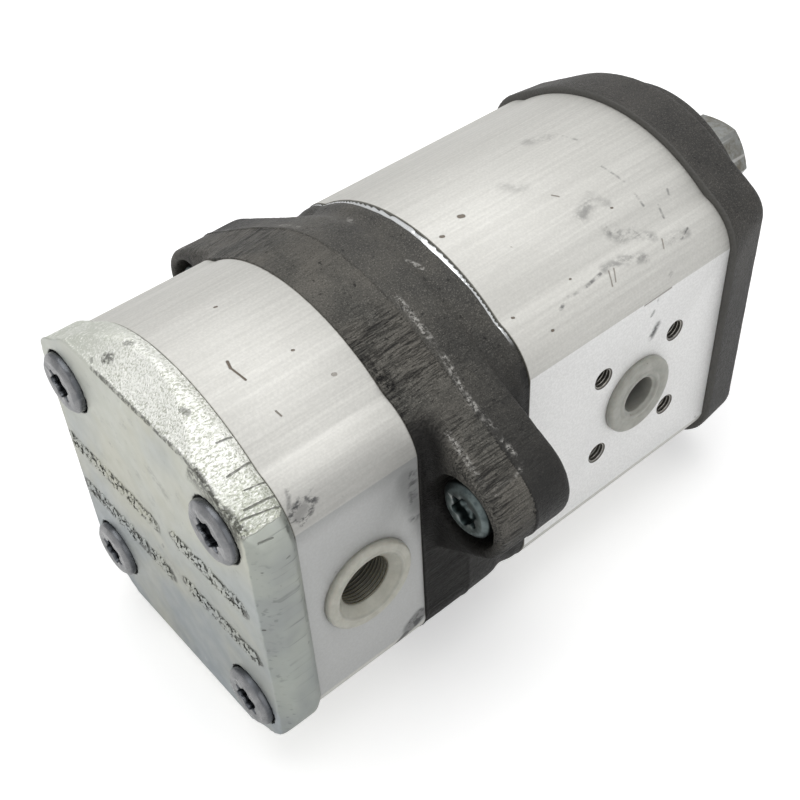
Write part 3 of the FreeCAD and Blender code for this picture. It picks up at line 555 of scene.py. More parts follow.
@dataclass(frozen=True)
class BlackCasting(Finish):
    """Black coated iron with a cast skin, rubbed white on its ridges."""

    dark: Colour = srgb(60, 59, 56)
    light: Colour = srgb(78, 76, 71)
    # Painted shade: the colour that the lower part darkens towards.
    low_shade_tone: Colour = srgb(34, 33, 32)
    worn: Colour = srgb(205, 203, 198)
    # How much painted shade the lower part gets, and the heights where it starts and where it is full.
    low_shade_share: float = 0.75
    low_shade_top: float = 18.0 * MM
    low_shade_foot: float = -12.0 * MM
    furrow: float = 0.1
    furrow_from: float = 0.0
    ridges: tuple[Mark, ...] = ()
    pits: tuple[Mark, ...] = ()
    # Dark scratches, and painted shade in the adaptor's slot and the flange's pocket.
    scores_and_shade: tuple[Mark, ...] = ()
    bare_from: float = 1.0
    gloss: float = 0.3
    sparkle: float = 0.65
    # Painted light: the tone is lightened within 0.7 mm in front of this X, on the back step that lies in
    # shade.
    lit_ledge_at: float = -1.0

    def _furrows(self, paint: Painter) -> bpy.types.NodeSocket:
        """Masks the dark grooves that run along the shaft.

        Args:
            paint: The material in the making.

        Returns:
            The mask.
        """
        graph = paint.graph
        aside = graph.math("ABSOLUTE", graph.part_of(paint.place, "Y"))
        full_from = self.furrow_from + 8.0 * MM
        region = graph.ramp(aside, self.furrow_from, full_from, self.furrow * 0.25, self.furrow)
        fine = graph.ramp(paint.effect(paint.effects.lines, "Height", Scale=2300.0, Length=16.0), 0.5, 0.6)
        broad = graph.ramp(paint.effect(paint.effects.lines, "Height", Scale=560.0, Length=20.0), 0.53, 0.6)
        lines = graph.math("ADD", graph.times(fine, 0.6), graph.times(broad, 0.5), clamp=True)
        patches = graph.ramp(graph.noise(paint.place, 60.0, 3.0), 0.36, 0.56, 0.3, 1.0)
        return graph.times(lines, patches, region)

    def _bare(self, paint: Painter) -> bpy.types.NodeSocket:
        """Masks the machined band at the front end, over the top.

        Args:
            paint: The material in the making.

        Returns:
            The mask.
        """
        graph = paint.graph
        along = graph.part_of(paint.place, "X")
        wavy = graph.math("ADD", along, graph.times(graph.noise(paint.place, 220.0, 2.0), 0.5 * MM))
        up = graph.part_of(paint.place, "Z")
        widening = graph.ramp(up, 31.0 * MM, 36.5 * MM, 0.0, 0.7 * MM)
        edge = graph.math("SUBTRACT", self.bare_from, widening)
        band = graph.ramp(wavy, edge, graph.math("ADD", edge, 0.15 * MM))
        return graph.times(band, graph.ramp(up, 22.0 * MM, 26.0 * MM))

    def fill(self, paint: Painter) -> None:
        """Adds the nodes of this finish to a material.

        Args:
            paint: The material in the making.
        """
        graph, effects = paint.graph, paint.effects
        shade = paint.effect(effects.grain, "Shade", Scale=1700.0)
        height = paint.effect(effects.grain, "Height", Scale=1700.0, Coarseness=0.5)
        paint.tone = graph.mix(shade, self.dark, self.light)
        dust = graph.ramp(height, 0.3, 0.7, 0.0, 0.35)
        paint.cover(srgb(116, 113, 106), dust)
        sand = graph.noise(paint.place, 2600.0, 3.0, 0.7)
        paint.cover(srgb(34, 33, 31), graph.ramp(sand, 0.45, 0.33, 0.0, 0.75))
        paint.cover(srgb(132, 129, 122), graph.ramp(sand, 0.54, 0.66, 0.0, self.sparkle))
        # Painted shade: darker towards the bottom.
        low = graph.ramp(graph.part_of(paint.place, "Z"), self.low_shade_top, self.low_shade_foot, 0.0, self.low_shade_share)
        paint.cover(self.low_shade_tone, low)
        furrows = self._furrows(paint)
        paint.cover(srgb(18, 17, 16), graph.times(furrows, 0.9))
        pits = graph.times(paint.effect(effects.specks, "Mask", Scale=620.0, Size=0.4, Share=0.25), 0.7)
        crumbled = graph.ramp(graph.noise(paint.place, 900.0, 4.0, 0.75), 0.42, 0.6)
        pits = graph.highest(pits, paint.marked(self.pits, crumbled))
        paint.cover(srgb(24, 23, 22), pits)
        # Dark scratches, and painted shade in the adaptor's slot and the flange's pocket.
        paint.cover(srgb(26, 25, 24), paint.marked(self.scores_and_shade, 1.0))
        flecks = graph.ramp(graph.noise(paint.place, 1000.0, 4.0, 0.75), 0.45, 0.6)
        clustered = graph.ramp(graph.noise(paint.place, 170.0, 2.0), 0.44, 0.54, 0.08, 1.0)
        flecks = graph.times(flecks, clustered)
        worn = paint.marked(self.ridges, flecks)
        edges = paint.effect(effects.wear, "Mask", Start=0.56, Full=0.66,
                             Patch_scale=900.0, Patch_share=0.3)
        worn = graph.highest(worn, graph.times(edges, 0.4))
        paint.cover(self.worn, graph.times(worn, 0.75))
        # Painted light on the shaded back step near the low end.
        along = graph.part_of(paint.place, "X")
        ledge_light = graph.ramp(along, self.lit_ledge_at + 0.7 * MM, self.lit_ledge_at + 0.2 * MM)
        paint.cover(srgb(92, 91, 88), graph.times(ledge_light, 0.8))
        bare = self._bare(paint)
        paint.cover(srgb(226, 228, 229), bare)
        rough = graph.math("SUBTRACT", graph.ramp(height, 0.1, 0.9, 0.48, 0.72), graph.times(bare, 0.36))
        paint.surface(rough, graph.highest(graph.times(worn, 0.4), bare))
        paint.shader.inputs["Specular IOR Level"].default_value = self.gloss
        skin = graph.rest_of(bare)
        paint.bump((graph.times(height, skin), 0.3 * MM), (graph.times(furrows, skin), -0.3 * MM),
                   (graph.times(pits, skin), -0.2 * MM), (worn, 0.08 * MM))


@dataclass(frozen=True)
class DrawnAluminium(Finish):
    """Extruded aluminium with faint lines along the shaft; its flat port sides carry painted light and
    shade.
    """

    port_face: float
    low_end: float
    high_end: float
    marks: tuple[Mark, ...] = ()
    pits: tuple[Mark, ...] = ()
    holes: tuple[Mark, ...] = ()
    # Painted light and shade: the tone of the flat port faces as they are lit.
    milled_lit_and_shaded: Colour = srgb(224, 224, 223)
    tone: Colour = srgb(219, 218, 213)

    def fill(self, paint: Painter) -> None:
        """Adds the nodes of this finish to a material.

        Args:
            paint: The material in the making.
        """
        graph, effects = paint.graph, paint.effects
        along = graph.part_of(paint.place, "X")
        across = graph.math("ABSOLUTE", graph.part_of(paint.place, "Y"))
        flat = graph.ramp(across, self.port_face - 0.1 * MM, self.port_face - 0.03 * MM)
        lines = paint.effect(effects.lines, "Height", Scale=1100.0, Length=70.0)
        cloud = graph.noise(graph.stretched(paint.place, (0.35, 1.0, 1.0)), 48.0, 4.0, 0.6)
        grain = graph.noise(paint.place, 1500.0, 3.0, 0.6)
        paint.tone = graph.mix(graph.ramp(cloud, 0.3, 0.72, 0.0, 0.6), self.tone, srgb(208, 207, 202))
        paint.cover(srgb(180, 179, 174), graph.ramp(lines, 0.3, 0.7, 0.3, 0.0))
        # Painted light and shade on the flat port faces.
        paint.cover(self.milled_lit_and_shaded, flat)
        paint.cover(srgb(150, 149, 145), graph.ramp(grain, 0.35, 0.7, 0.16, 0.0))
        specks = paint.effect(effects.specks, "Mask", Scale=80.0, Size=0.09, Share=0.16)
        paint.cover(srgb(104, 92, 72), graph.times(specks, 0.7))
        streaks = graph.noise(graph.stretched(paint.place, (0.5, 1.0, 1.0)), 700.0, 5.0, 0.75)
        patches = graph.noise(paint.place, 170.0, 3.0, 0.6, 0.8)
        uneven = graph.math("ADD", graph.times(streaks, 0.5), graph.times(patches, 0.5))
        breakup = graph.ramp(uneven, 0.42, 0.6)
        # Dirt marks; on the rear body some of them are painted shade.
        dirt = paint.marked(self.marks, breakup)
        paint.cover(srgb(72, 72, 73), dirt)
        pits = paint.marked(self.pits, 1.0)
        paint.cover(srgb(88, 72, 52), pits)
        # Painted shade down the flange holes, kept off the face around them.
        holes = graph.times(paint.marked(self.holes, 1.0), graph.rest_of(flat))
        paint.cover(srgb(58, 52, 42), holes)
        # Painted shade within 0.3 mm of both ends, where the neighbouring parts meet the body.
        low_joint_shade = graph.ramp(along, self.low_end + 0.3 * MM, self.low_end)
        high_joint_shade = graph.ramp(along, self.high_end - 0.3 * MM, self.high_end)
        joint = graph.highest(low_joint_shade, high_joint_shade)
        paint.cover(srgb(92, 89, 78), graph.times(joint, 0.8))
        rough = graph.ramp(cloud, 0.3, 0.7, 0.5, 0.6)
        covered = graph.highest(dirt, pits, holes)
        paint.surface(rough, graph.math("SUBTRACT", 0.38, graph.times(covered, 0.3)))
        paint.bump((lines, 0.02 * MM), (grain, 0.02 * MM), (pits, -0.25 * MM))


@dataclass(frozen=True)
class PlatedCasting(Finish):
    """Pale zinc plating: rough and sparkling on its two rims, smooth at its sides and rear face."""

    face: float
    middle: float
    rim_rise: float = 38.6 * MM
    # Painted light and shade: the plating turns from the lower colour to this one going up.
    high_lit_tone: Colour = srgb(208, 210, 200)
    low_shade_tone: Colour = srgb(154, 160, 162)
    yellow: Colour = srgb(204, 202, 184)
    blue: Colour = srgb(172, 180, 186)
    rim_tone: Colour = srgb(254, 255, 249)
    # Painted shade: the dimmer rim colour towards both ends along Y.
    rim_end_shade: Colour = srgb(210, 213, 203)
    side_tone: Colour = srgb(150, 154, 152)
    cuts: tuple[Mark, ...] = ()
    crevices: tuple[Mark, ...] = ()
    # Painted shade between the raised lumps of the strips.
    hollows: tuple[Mark, ...] = ()
    blots: tuple[Mark, ...] = ()

    def _zones(self, paint: Painter) -> tuple[bpy.types.NodeSocket, bpy.types.NodeSocket]:
        """Masks the rough rims and the smooth sides.

        Args:
            paint: The material in the making.

        Returns:
            The mask of the rims and that of the sides.
        """
        graph = paint.graph
        along = graph.math("SUBTRACT", graph.part_of(paint.place, "X"), self.face)
        uneven = graph.times(graph.noise(paint.place, 300.0, 3.0), 0.6 * MM)
        off_face = graph.ramp(graph.math("ADD", along, uneven), 0.35 * MM, 0.8 * MM)
        rise = graph.math("ABSOLUTE", graph.math("SUBTRACT", graph.part_of(paint.place, "Z"), self.middle))
        wavy = graph.math("ADD", rise, graph.times(graph.noise(paint.place, 400.0, 3.0), 0.9 * MM))
        high = graph.ramp(wavy, self.rim_rise + 0.3 * MM, self.rim_rise + 0.6 * MM)
        return graph.times(off_face, high), graph.times(off_face, graph.rest_of(high))

    def fill(self, paint: Painter) -> None:
        """Adds the nodes of this finish to a material.

        Args:
            paint: The material in the making.
        """
        graph, effects = paint.graph, paint.effects
        top, side = self._zones(paint)
        broad = graph.noise(paint.place, 34.0, 3.0, 0.6, 0.4)
        # Painted light and shade: lighter high up, darker low down.
        up = graph.ramp(graph.part_of(paint.place, "Z"), -62.0 * MM, 22.0 * MM)
        paint.tone = graph.mix(up, self.low_shade_tone, self.high_lit_tone)
        paint.cover(self.yellow, graph.ramp(broad, 0.4, 0.65, 0.0, 0.5))
        cool = graph.noise(graph.vector("ADD", paint.place, (0.3, 0.1, 0.2)), 26.0, 2.0)
        paint.cover(self.blue, graph.ramp(cool, 0.46, 0.7, 0.0, 0.5))
        faint = graph.noise(paint.place, 220.0, 5.0, 0.7)
        paint.cover(srgb(150, 152, 146), graph.ramp(faint, 0.56, 0.7, 0.0, 0.3))
        grey = graph.mix(graph.ramp(broad, 0.4, 0.6), self.side_tone, srgb(168, 173, 166))
        paint.cover(grey, graph.times(side, 0.85))
        across = graph.part_of(paint.place, "Y")
        # Painted shade on the rim, darker towards both ends along Y.
        dull = graph.highest(graph.ramp(across, -30.0 * MM, -42.0 * MM),
                             graph.ramp(across, 2.0 * MM, 24.0 * MM))
        calm = graph.ramp(across, 24.0 * MM, 2.0 * MM, 0.25, 1.0)
        paint.cover(graph.mix(dull, self.rim_tone, self.rim_end_shade), top)
        tilted = graph.turned(paint.place, (35.0, 0.0, 30.0), (0.5, 1.0, 1.0))
        crumbs = graph.noise(tilted, 2200.0, 3.0, 0.6, 0.4)
        patchy = graph.ramp(graph.noise(paint.place, 90.0, 2.0), 0.35, 0.6, 0.6, 1.0)
        dents = graph.times(graph.ramp(crumbs, 0.54, 0.38), patchy)
        paint.cover(srgb(172, 175, 158), graph.times(dents, top, calm, 0.8))
        glints = graph.ramp(crumbs, 0.55, 0.64)
        paint.cover(srgb(255, 255, 250), graph.times(glints, top, 0.9))
        slanted = graph.turned(paint.place, (0.0, 28.0, 0.0), (0.04, 1.0, 1.0))
        grooves = graph.ramp(graph.noise(slanted, 900.0, 1.0), 0.44, 0.3)
        grooves = graph.times(grooves, graph.ramp(graph.noise(paint.place, 120.0, 2.0), 0.4, 0.6, 0.3, 1.0))
        paint.cover(srgb(118, 123, 120), graph.times(grooves, side, 0.5))
        specks = paint.effect(effects.specks, "Mask", Scale=230.0, Size=0.25, Share=0.1)
        paint.cover(srgb(92, 92, 86), graph.times(specks, 0.5))
        ragged = graph.ramp(graph.noise(paint.place, 800.0, 4.0, 0.75), 0.42, 0.55)
        dark = paint.marked(self.crevices, ragged)
        dark = graph.highest(dark, paint.marked(self.cuts, 1.0))
        # Painted shade between the strips' raised lumps, only at the face's own level.
        torn = graph.ramp(graph.noise(paint.place, 400.0, 5.0, 0.75, 0.6), 0.45, 0.53)
        proud = graph.math("SUBTRACT", graph.part_of(paint.place, "X"), self.face)
        down = graph.ramp(proud, -0.3 * MM, -0.05 * MM)
        dark = graph.highest(dark, graph.times(paint.marked(self.hollows, torn), down))
        paint.cover(srgb(62, 62, 54), graph.times(dark, 0.85))
        paint.cover(srgb(112, 112, 110), paint.marked(self.blots, ragged))
        rough = graph.ramp(graph.noise(paint.place, 240.0, 3.0), 0.3, 0.7, 0.34, 0.48)
        paint.surface(rough, graph.math("SUBTRACT", 0.8, graph.times(dark, 0.5)))
        fine = graph.noise(paint.place, 2400.0, 2.0)
        paint.bump((graph.times(crumbs, top, calm), 0.55 * MM), (graph.times(grooves, side), -0.05 * MM),
                   (dark, -0.3 * MM), (fine, 0.012 * MM))


@dataclass(frozen=True)
class TurnedMetal(Finish):
    """Bare or plated metal with fine marks: screws, shafts, nuts, bushes and blocks."""

    tone: Colour
    dull: Colour
    rough: float = 0.32
    grain: float = 1200.0
    depth: float = 0.01 * MM
    metal: float = 1.0
    # Painted shade and painted dark reflection: the colour that each ring's inside value lays on.
    painted_shade_tone: Colour = srgb(52, 58, 66)

    def fill(self, paint: Painter) -> None:
        """Adds the nodes of this finish to a material.

        Args:
            paint: The material in the making.
        """
        graph, effects = paint.graph, paint.effects
        cloud = graph.noise(paint.place, self.grain * 0.2, 4.0, 0.65)
        height = paint.effect(effects.grain, "Height", Scale=self.grain, Coarseness=0.4)
        paint.tone = graph.mix(graph.ramp(cloud, 0.35, 0.68), self.tone, self.dull)
        wear = paint.effect(effects.wear, "Mask", Start=0.52, Full=0.6, Patch_scale=900.0, Patch_share=0.8)
        paint.cover(srgb(214, 214, 212), graph.times(wear, 0.5))
        pits = paint.effect(effects.specks, "Mask", Scale=900.0, Size=0.3, Share=0.12)
        paint.cover(srgb(52, 52, 52), graph.times(pits, 0.5))
        # Painted shade and painted dark reflection, as the rings' inside values lay it on.
        depth = graph.add("ShaderNodeAttribute", attribute_name="inside").outputs["Fac"]
        paint.cover(self.painted_shade_tone, graph.times(depth, 0.8))
        paint.surface(graph.ramp(cloud, 0.3, 0.7, self.rough, self.rough + 0.16), self.metal)
        paint.bump((height, self.depth))


@dataclass(frozen=True)
class SoftMaterial(Finish):
    """Moulded plastic or rubber: matt, a little uneven, with specks of dust and painted shade down its
    holes.
    """

    tone: Colour
    shade: Colour
    rough: float = 0.5
    glow: float = 0.0
    # Painted shade: the colour that each ring's inside value lays on.
    painted_shade_tone: Colour = srgb(62, 62, 60)

    def fill(self, paint: Painter) -> None:
        """Adds the nodes of this finish to a material.

        Args:
            paint: The material in the making.
        """
        graph, effects = paint.graph, paint.effects
        cloud = graph.noise(paint.place, 320.0, 4.0, 0.6)
        paint.tone = graph.mix(graph.ramp(cloud, 0.3, 0.7), self.tone, self.shade)
        # Painted shade down the holes and edges, from the rings' inside values.
        depth = graph.add("ShaderNodeAttribute", attribute_name="inside").outputs["Fac"]
        paint.cover(self.painted_shade_tone, graph.ramp(depth, 0.0, 1.0, 0.0, 0.85))
        specks = paint.effect(effects.specks, "Mask", Scale=500.0, Size=0.3, Share=0.06)
        paint.cover(srgb(90, 88, 80), graph.times(specks, 0.5))
        paint.surface(graph.ramp(cloud, 0.3, 0.7, self.rough, self.rough + 0.12), 0.0)
        paint.shader.inputs["Subsurface Weight"].default_value = self.glow
        paint.shader.inputs["Subsurface Scale"].default_value = 2.0 * MM
        paint.bump((paint.effect(effects.grain, "Height", Scale=2200.0), 0.012 * MM))


def link_mesh(name: str, mesh: bpy.types.Mesh) -> bpy.types.Object:
    """Puts a mesh in the scene as an object at the origin.

    Args:
        name: The object's name.
        mesh: The mesh.

    Returns:
        The object.
    """
    piece = bpy.data.objects.new(name, mesh)
    bpy.context.scene.collection.objects.link(piece)
    return piece


def merged_copy(node: str, name: str) -> bpy.types.Object:
    """Copies a CAD node's mesh and joins its loose triangles.

    Args:
        node: The node's name.
        name: The new object's name.

    Returns:
        The copy, at the origin.
    """
    mesh = FRAME["nodes"][node].data.copy()
    mesh.materials.clear()
    if mesh.has_custom_normals:
        mesh.normals_split_custom_set([(0.0, 0.0, 0.0)] * len(mesh.loops))
    form = bmesh.new()
    form.from_mesh(mesh)
    bmesh.ops.remove_doubles(form, verts=form.verts, dist=MERGE_GAP)
    form.to_mesh(mesh)
    form.free()
    mesh.name = name
    return link_mesh(name, mesh)


def settle(piece: bpy.types.Object) -> bpy.types.Object:
    """Turns what the piece's modifiers give into its plain mesh, and removes them.

    Args:
        piece: The piece.

    Returns:
        The same piece.
    """
    seen = piece.evaluated_get(bpy.context.evaluated_depsgraph_get())
    mesh = bpy.data.meshes.new_from_object(seen)
    mesh.name = piece.name
    piece.modifiers.clear()
    piece.data = mesh
    return piece


def dress(piece: bpy.types.Object, material: bpy.types.Material, nodes: Sequence[str] = (),
          body: str = HOUSING) -> None:
    """Hands a finished piece over, with what it is made of and what carries it.

    Args:
        piece: The piece, with a plain mesh.
        material: Its material.
        nodes: The nodes that it stands for.
        body: The body that it rides on.
    """
    piece.data.materials.clear()
    piece.data.materials.append(material)
    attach(piece, body)
    if nodes:
        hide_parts(*nodes)
    LOG.info("%s: %d faces", piece.name, len(piece.data.polygons))


def soften(piece: bpy.types.Object, width: float, segments: int = 2) -> None:
    """Rounds a machined piece's sharp edges a little and shades the rest smooth.

    Args:
        piece: The piece.
        width: The width of the rounding.
        segments: How many faces lie across it.
    """
    bevel = piece.modifiers.new("edges", "BEVEL")
    bevel.width = width
    bevel.segments = segments
    bevel.limit_method = "ANGLE"
    bevel.angle_limit = SHARP_ANGLE
    bevel.harden_normals = True
    piece.data.shade_smooth()
    settle(piece)


@dataclass(frozen=True)
class Ring:
    """One ring of a turned skin: its place along X, its radius, and how much painted shade it gets.

    The radius is a length, or a function that gives it at an angle.
    """

    along: float
    radius: float | Callable[[float], float]
    # The share of painted shade at this ring, from 0 for none to 1 for full.
    inside: float = 0.0

    def reach(self, angle: float) -> float:
        """Returns the radius at an angle."""
        return self.radius(angle) if callable(self.radius) else self.radius


def star(outer: float, inner: float) -> Callable[[float], float]:
    """A six-lobed drive socket, with wide lobes and rounded hollows between them.

    Args:
        outer: The radius at the tips of the lobes.
        inner: The radius between them.

    Returns:
        The function that gives the socket's radius at an angle.
    """
    middle, swing = (outer + inner) / 2, (outer - inner) / 2

    def radius(angle: float) -> float:
        """Returns the radius at an angle."""
        wave = math.cos(6.0 * angle)
        return middle + swing * math.copysign(abs(wave) ** (0.55 if wave > 0.0 else 1.0), wave)
    return radius


def ring_stack(name: str, rings: Sequence[Ring], segments: int) -> bpy.types.Mesh:
    """Joins rings about the X axis into one closed skin, capped by a point at each end.

    Args:
        name: The mesh's name.
        rings: The rings, from one end of the skin to the other.
        segments: How many corners each ring has.

    Returns:
        The mesh.
    """
    form = bmesh.new()
    loops = []
    # Each vertex keeps its ring's share of painted shade, as the attribute inside.
    depth = form.verts.layers.float.new("inside")
    for ring in rings:
        loop = []
        for index in range(segments):
            angle = 2.0 * math.pi * index / segments
            reach = ring.reach(angle)
            loop.append(form.verts.new((ring.along, reach * math.cos(angle), reach * math.sin(angle))))
            loop[-1][depth] = ring.inside
        loops.append(loop)
    for first, second in zip(loops, loops[1:]):
        for index in range(segments):
            after = (index + 1) % segments
            form.faces.new((first[index], first[after], second[after], second[index]))
    for loop, ring in ((loops[0], rings[0]), (loops[-1], rings[-1])):
        tip = form.verts.new((ring.along, 0.0, 0.0))
        tip[depth] = ring.inside
        for index in range(segments):
            form.faces.new((loop[index], loop[(index + 1) % segments], tip))
    bmesh.ops.recalc_face_normals(form, faces=form.faces)
    mesh = bpy.data.meshes.new(name)
    form.to_mesh(mesh)
    form.free()
    mesh.shade_smooth()
    return mesh


class ShapeTree(Group):
    """A Geometry Nodes tree in the making, whose result is real geometry with its material set."""

    def __init__(self, name: str, inputs: Sequence[tuple[str, str, object]]) -> None:
        """Starts a tree with these inputs, besides the geometry and the finish that each tree has."""
        all_inputs = [("Geometry", GEOMETRY, None), *inputs, ("Finish", "NodeSocketMaterial", None)]
        super().__init__(name, GEOMETRY_TREE, all_inputs, [("Geometry", GEOMETRY)])

    def grid(self, width: object, height: object) -> bpy.types.NodeSocket:
        """Lays out a grid of as many points as the inputs Columns and Rows say.

        Args:
            width: The distance between the outer columns.
            height: The distance between the outer rows.

        Returns:
            The grid.
        """
        return self.add("GeometryNodeMeshGrid", {
            "Size X": width, "Size Y": height, "Vertices X": self.given["Columns"],
            "Vertices Y": self.given["Rows"],
        }).outputs["Mesh"]

    def random(self, low: object, high: object, seed: object) -> bpy.types.NodeSocket:
        """Draws a value or a vector for each point.

        Args:
            low: The lowest value, or a tuple of them.
            high: The highest value, or a tuple of them.
            seed: The seed.

        Returns:
            The draw.
        """
        drawn_kind, first, output = ("FLOAT_VECTOR", 0, 0) if isinstance(low, tuple) else ("FLOAT", 2, 1)
        feeds = {first: low, first + 1: high, "Seed": seed}
        return self.add("FunctionNodeRandomValue", feeds, data_type=drawn_kind).outputs[output]

    def end(self, shape: object) -> bpy.types.NodeTree:
        """Ends the tree in real geometry with its material.

        Args:
            shape: What the tree has made.

        Returns:
            The tree.
        """
        real = self.add("GeometryNodeRealizeInstances", {0: shape})
        feeds = {"Geometry": real.outputs[0], "Material": self.given["Finish"]}
        self.give("Geometry", self.add("GeometryNodeSetMaterial", feeds).outputs[0])
        return self.tree


class Trees:
    """The Geometry Nodes trees: cast skins, screw patterns, thread ridges and raised marks."""

    def __init__(self) -> None:
        """Builds all the trees."""
        self.skin = self._skin()
        self.pattern = self._pattern()
        self.ridges = self._ridges()
        self.marks = self._marks()

    @staticmethod
    def _skin() -> bpy.types.NodeTree:
        """Rounds a casting and sinks its surface by grain, lumps and grooves, but not on its machined ends.

        Returns:
            The tree.
        """
        tree = ShapeTree("cast_skin", [
            ("Grain scale", FLOAT, 900.0), ("Grain depth", FLOAT, 0.05 * MM), ("Lump scale", FLOAT, 120.0),
            ("Lump depth", FLOAT, 0.2 * MM), ("Groove scale", FLOAT, 500.0),
            ("Groove depth", FLOAT, 0.1 * MM), ("Low end", FLOAT, -1.0), ("High end", FLOAT, 1.0),
            ("Rounding", COUNT, 4), ("Middle", FLOAT, 0.0), ("Rim rise", FLOAT, -1.0),
            ("Overlap", FLOAT, 0.0),
        ])
        given = tree.given
        place = tree.add("GeometryNodeInputPosition").outputs[0]
        along = tree.part_of(place, "X")
        from_low = tree.math("SUBTRACT", along, given["Low end"])
        from_high = tree.math("SUBTRACT", given["High end"], along)
        rise = tree.math("ABSOLUTE", tree.math("SUBTRACT", tree.part_of(place, "Z"), given["Middle"]))
        guard = [tree.ramp(gap, 0.5 * MM, 1.8 * MM) for gap in (from_low, from_high)]
        rounded = tree.add("GeometryNodeBlurAttribute", {
            "Iterations": given["Rounding"], "Weight": tree.times(*guard),
        }, data_type="FLOAT_VECTOR")
        tree.feed(next(each for each in rounded.inputs if each.enabled and each.type == "VECTOR"), place)
        longer = tree.times(tree.ramp(from_low, 0.9 * MM, 0.3 * MM), given["Overlap"], -1.0)
        shaped = tree.add("GeometryNodeSetPosition", {
            "Geometry": given["Geometry"],
            "Position": next(each for each in rounded.outputs if each.enabled),
            "Offset": tree.vector_of(longer),
        })
        grain = tree.times(tree.noise(place, given["Grain scale"], 3.0, 0.6), given["Grain depth"])
        lumps = tree.times(tree.noise(place, given["Lump scale"], 3.0, 0.5), given["Lump depth"])
        drawn = tree.noise(tree.stretched(place, (0.06, 1.0, 1.0)), given["Groove scale"], 3.0, 0.6)
        where = tree.ramp(tree.noise(place, 45.0, 2.0), 0.42, 0.6)
        grooves = tree.times(tree.ramp(drawn, 0.35, 0.65), where, given["Groove depth"])
        total = tree.math("ADD", tree.math("ADD", grain, lumps), grooves)
        cast = [tree.ramp(gap, 0.1 * MM, 0.9 * MM) for gap in (from_low, from_high)]
        rim = tree.ramp(tree.math("SUBTRACT", rise, given["Rim rise"]), -0.2 * MM, 0.6 * MM)
        normal = tree.add("GeometryNodeInputNormal").outputs[0]
        sunk = tree.add("GeometryNodeSetPosition", {
            "Geometry": shaped.outputs[0],
            "Offset": tree.scaled(normal, tree.times(total, *cast, rim, -1.0)),
        })
        return tree.end(sunk.outputs[0])

    @staticmethod
    def _pattern() -> bpy.types.NodeTree:
        """Repeats one piece over an upright grid, each turned its own way.

        Returns:
            The tree.
        """
        tree = ShapeTree("corner_pattern", [
            ("Width", FLOAT, 0.065), ("Height", FLOAT, 0.065), ("Columns", COUNT, 2), ("Rows", COUNT, 2),
            ("Centre", VECTOR, (0.0, 0.0, 0.0)), ("Facing", VECTOR, (0.0, 0.0, 0.0)), ("Turn", FLOAT, 0.0),
            ("Seed", COUNT, 1),
        ])
        given = tree.given
        upright = tree.add("GeometryNodeTransform", {
            "Geometry": tree.grid(given["Width"], given["Height"]),
            "Rotation": (math.pi / 2, 0.0, math.pi / 2),
        })
        placed = tree.add("GeometryNodeInstanceOnPoints", {
            "Points": upright.outputs[0], "Instance": given["Geometry"],
            "Rotation": tree.vector_of(tree.random(0.0, given["Turn"], given["Seed"])),
        })
        turned = tree.add("GeometryNodeTransform", {
            "Geometry": placed.outputs[0], "Rotation": given["Facing"], "Translation": given["Centre"],
        })
        return tree.end(turned.outputs[0])

    @staticmethod
    def _ridges() -> bpy.types.NodeTree:
        """A row of rings along X that stand in from a hole's wall, as a thread shows.

        Returns:
            The tree.
        """
        tree = ShapeTree("thread_ridges", [
            ("Radius", FLOAT, 0.0025), ("Pitch", FLOAT, 0.001), ("Count", COUNT, 8),
            ("Thickness", FLOAT, 0.0004),
        ])
        given = tree.given
        path = tree.add("GeometryNodeCurvePrimitiveCircle", {"Resolution": 40, "Radius": given["Radius"]})
        across = tree.add("GeometryNodeTransform", {
            "Geometry": path.outputs[0], "Rotation": (0.0, math.pi / 2, 0.0),
        })
        outline = {"Resolution": 6, "Radius": given["Thickness"]}
        section = tree.add("GeometryNodeCurvePrimitiveCircle", outline)
        tube = tree.add("GeometryNodeCurveToMesh", {0: across.outputs[0], 1: section.outputs[0]})
        step = tree.vector_of(given["Pitch"])
        row = tree.add("GeometryNodeMeshLine", {"Count": given["Count"], "Offset": step})
        placed = tree.add("GeometryNodeInstanceOnPoints", {
            "Points": row.outputs[0], "Instance": tube.outputs[0],
        })
        return tree.end(placed.outputs[0])

    @staticmethod
    def _marks() -> bpy.types.NodeTree:
        """A strip of small slanting lumps that stand up from a flat face which looks along -X.

        Returns:
            The tree.
        """
        tree = ShapeTree("raised_marks", [
            ("Length", FLOAT, 0.03), ("Width", FLOAT, 0.005), ("Columns", COUNT, 18), ("Rows", COUNT, 3),
            ("Lump size", FLOAT, 0.0012), ("Lump height", FLOAT, 0.0005), ("Seed", COUNT, 1),
            ("Centre", VECTOR, (0.0, 0.0, 0.0)),
        ])
        given = tree.given
        seeds = [given["Seed"]] + [tree.math("ADD", given["Seed"], step) for step in (7.0, 13.0)]
        drift = 0.8 * MM
        spread = tree.add("GeometryNodeSetPosition", {
            "Geometry": tree.grid(given["Length"], given["Width"]),
            "Offset": tree.random((-drift, -drift, 0.0), (drift, drift, 0.0), seeds[0]),
        })
        size = tree.random(0.45, 1.0, seeds[1])
        wide = tree.times(size, given["Lump size"])
        ball = tree.add("GeometryNodeMeshIcoSphere", {"Radius": 1.0, "Subdivisions": 2})
        least, most = ((0.0, 0.0, math.radians(degrees)) for degrees in (25.0, 125.0))
        placed = tree.add("GeometryNodeInstanceOnPoints", {
            "Points": spread.outputs[0],
            "Instance": ball.outputs["Mesh"],
            "Rotation": tree.random(least, most, seeds[2]),
            "Scale": tree.vector_of(wide, tree.times(wide, 0.7), tree.times(size, given["Lump height"])),
        })
        upright = tree.add("GeometryNodeTransform", {
            "Geometry": placed.outputs[0], "Rotation": (math.pi / 2, 0.0, -math.pi / 2),
            "Translation": given["Centre"],
        })
        return tree.end(upright.outputs[0])


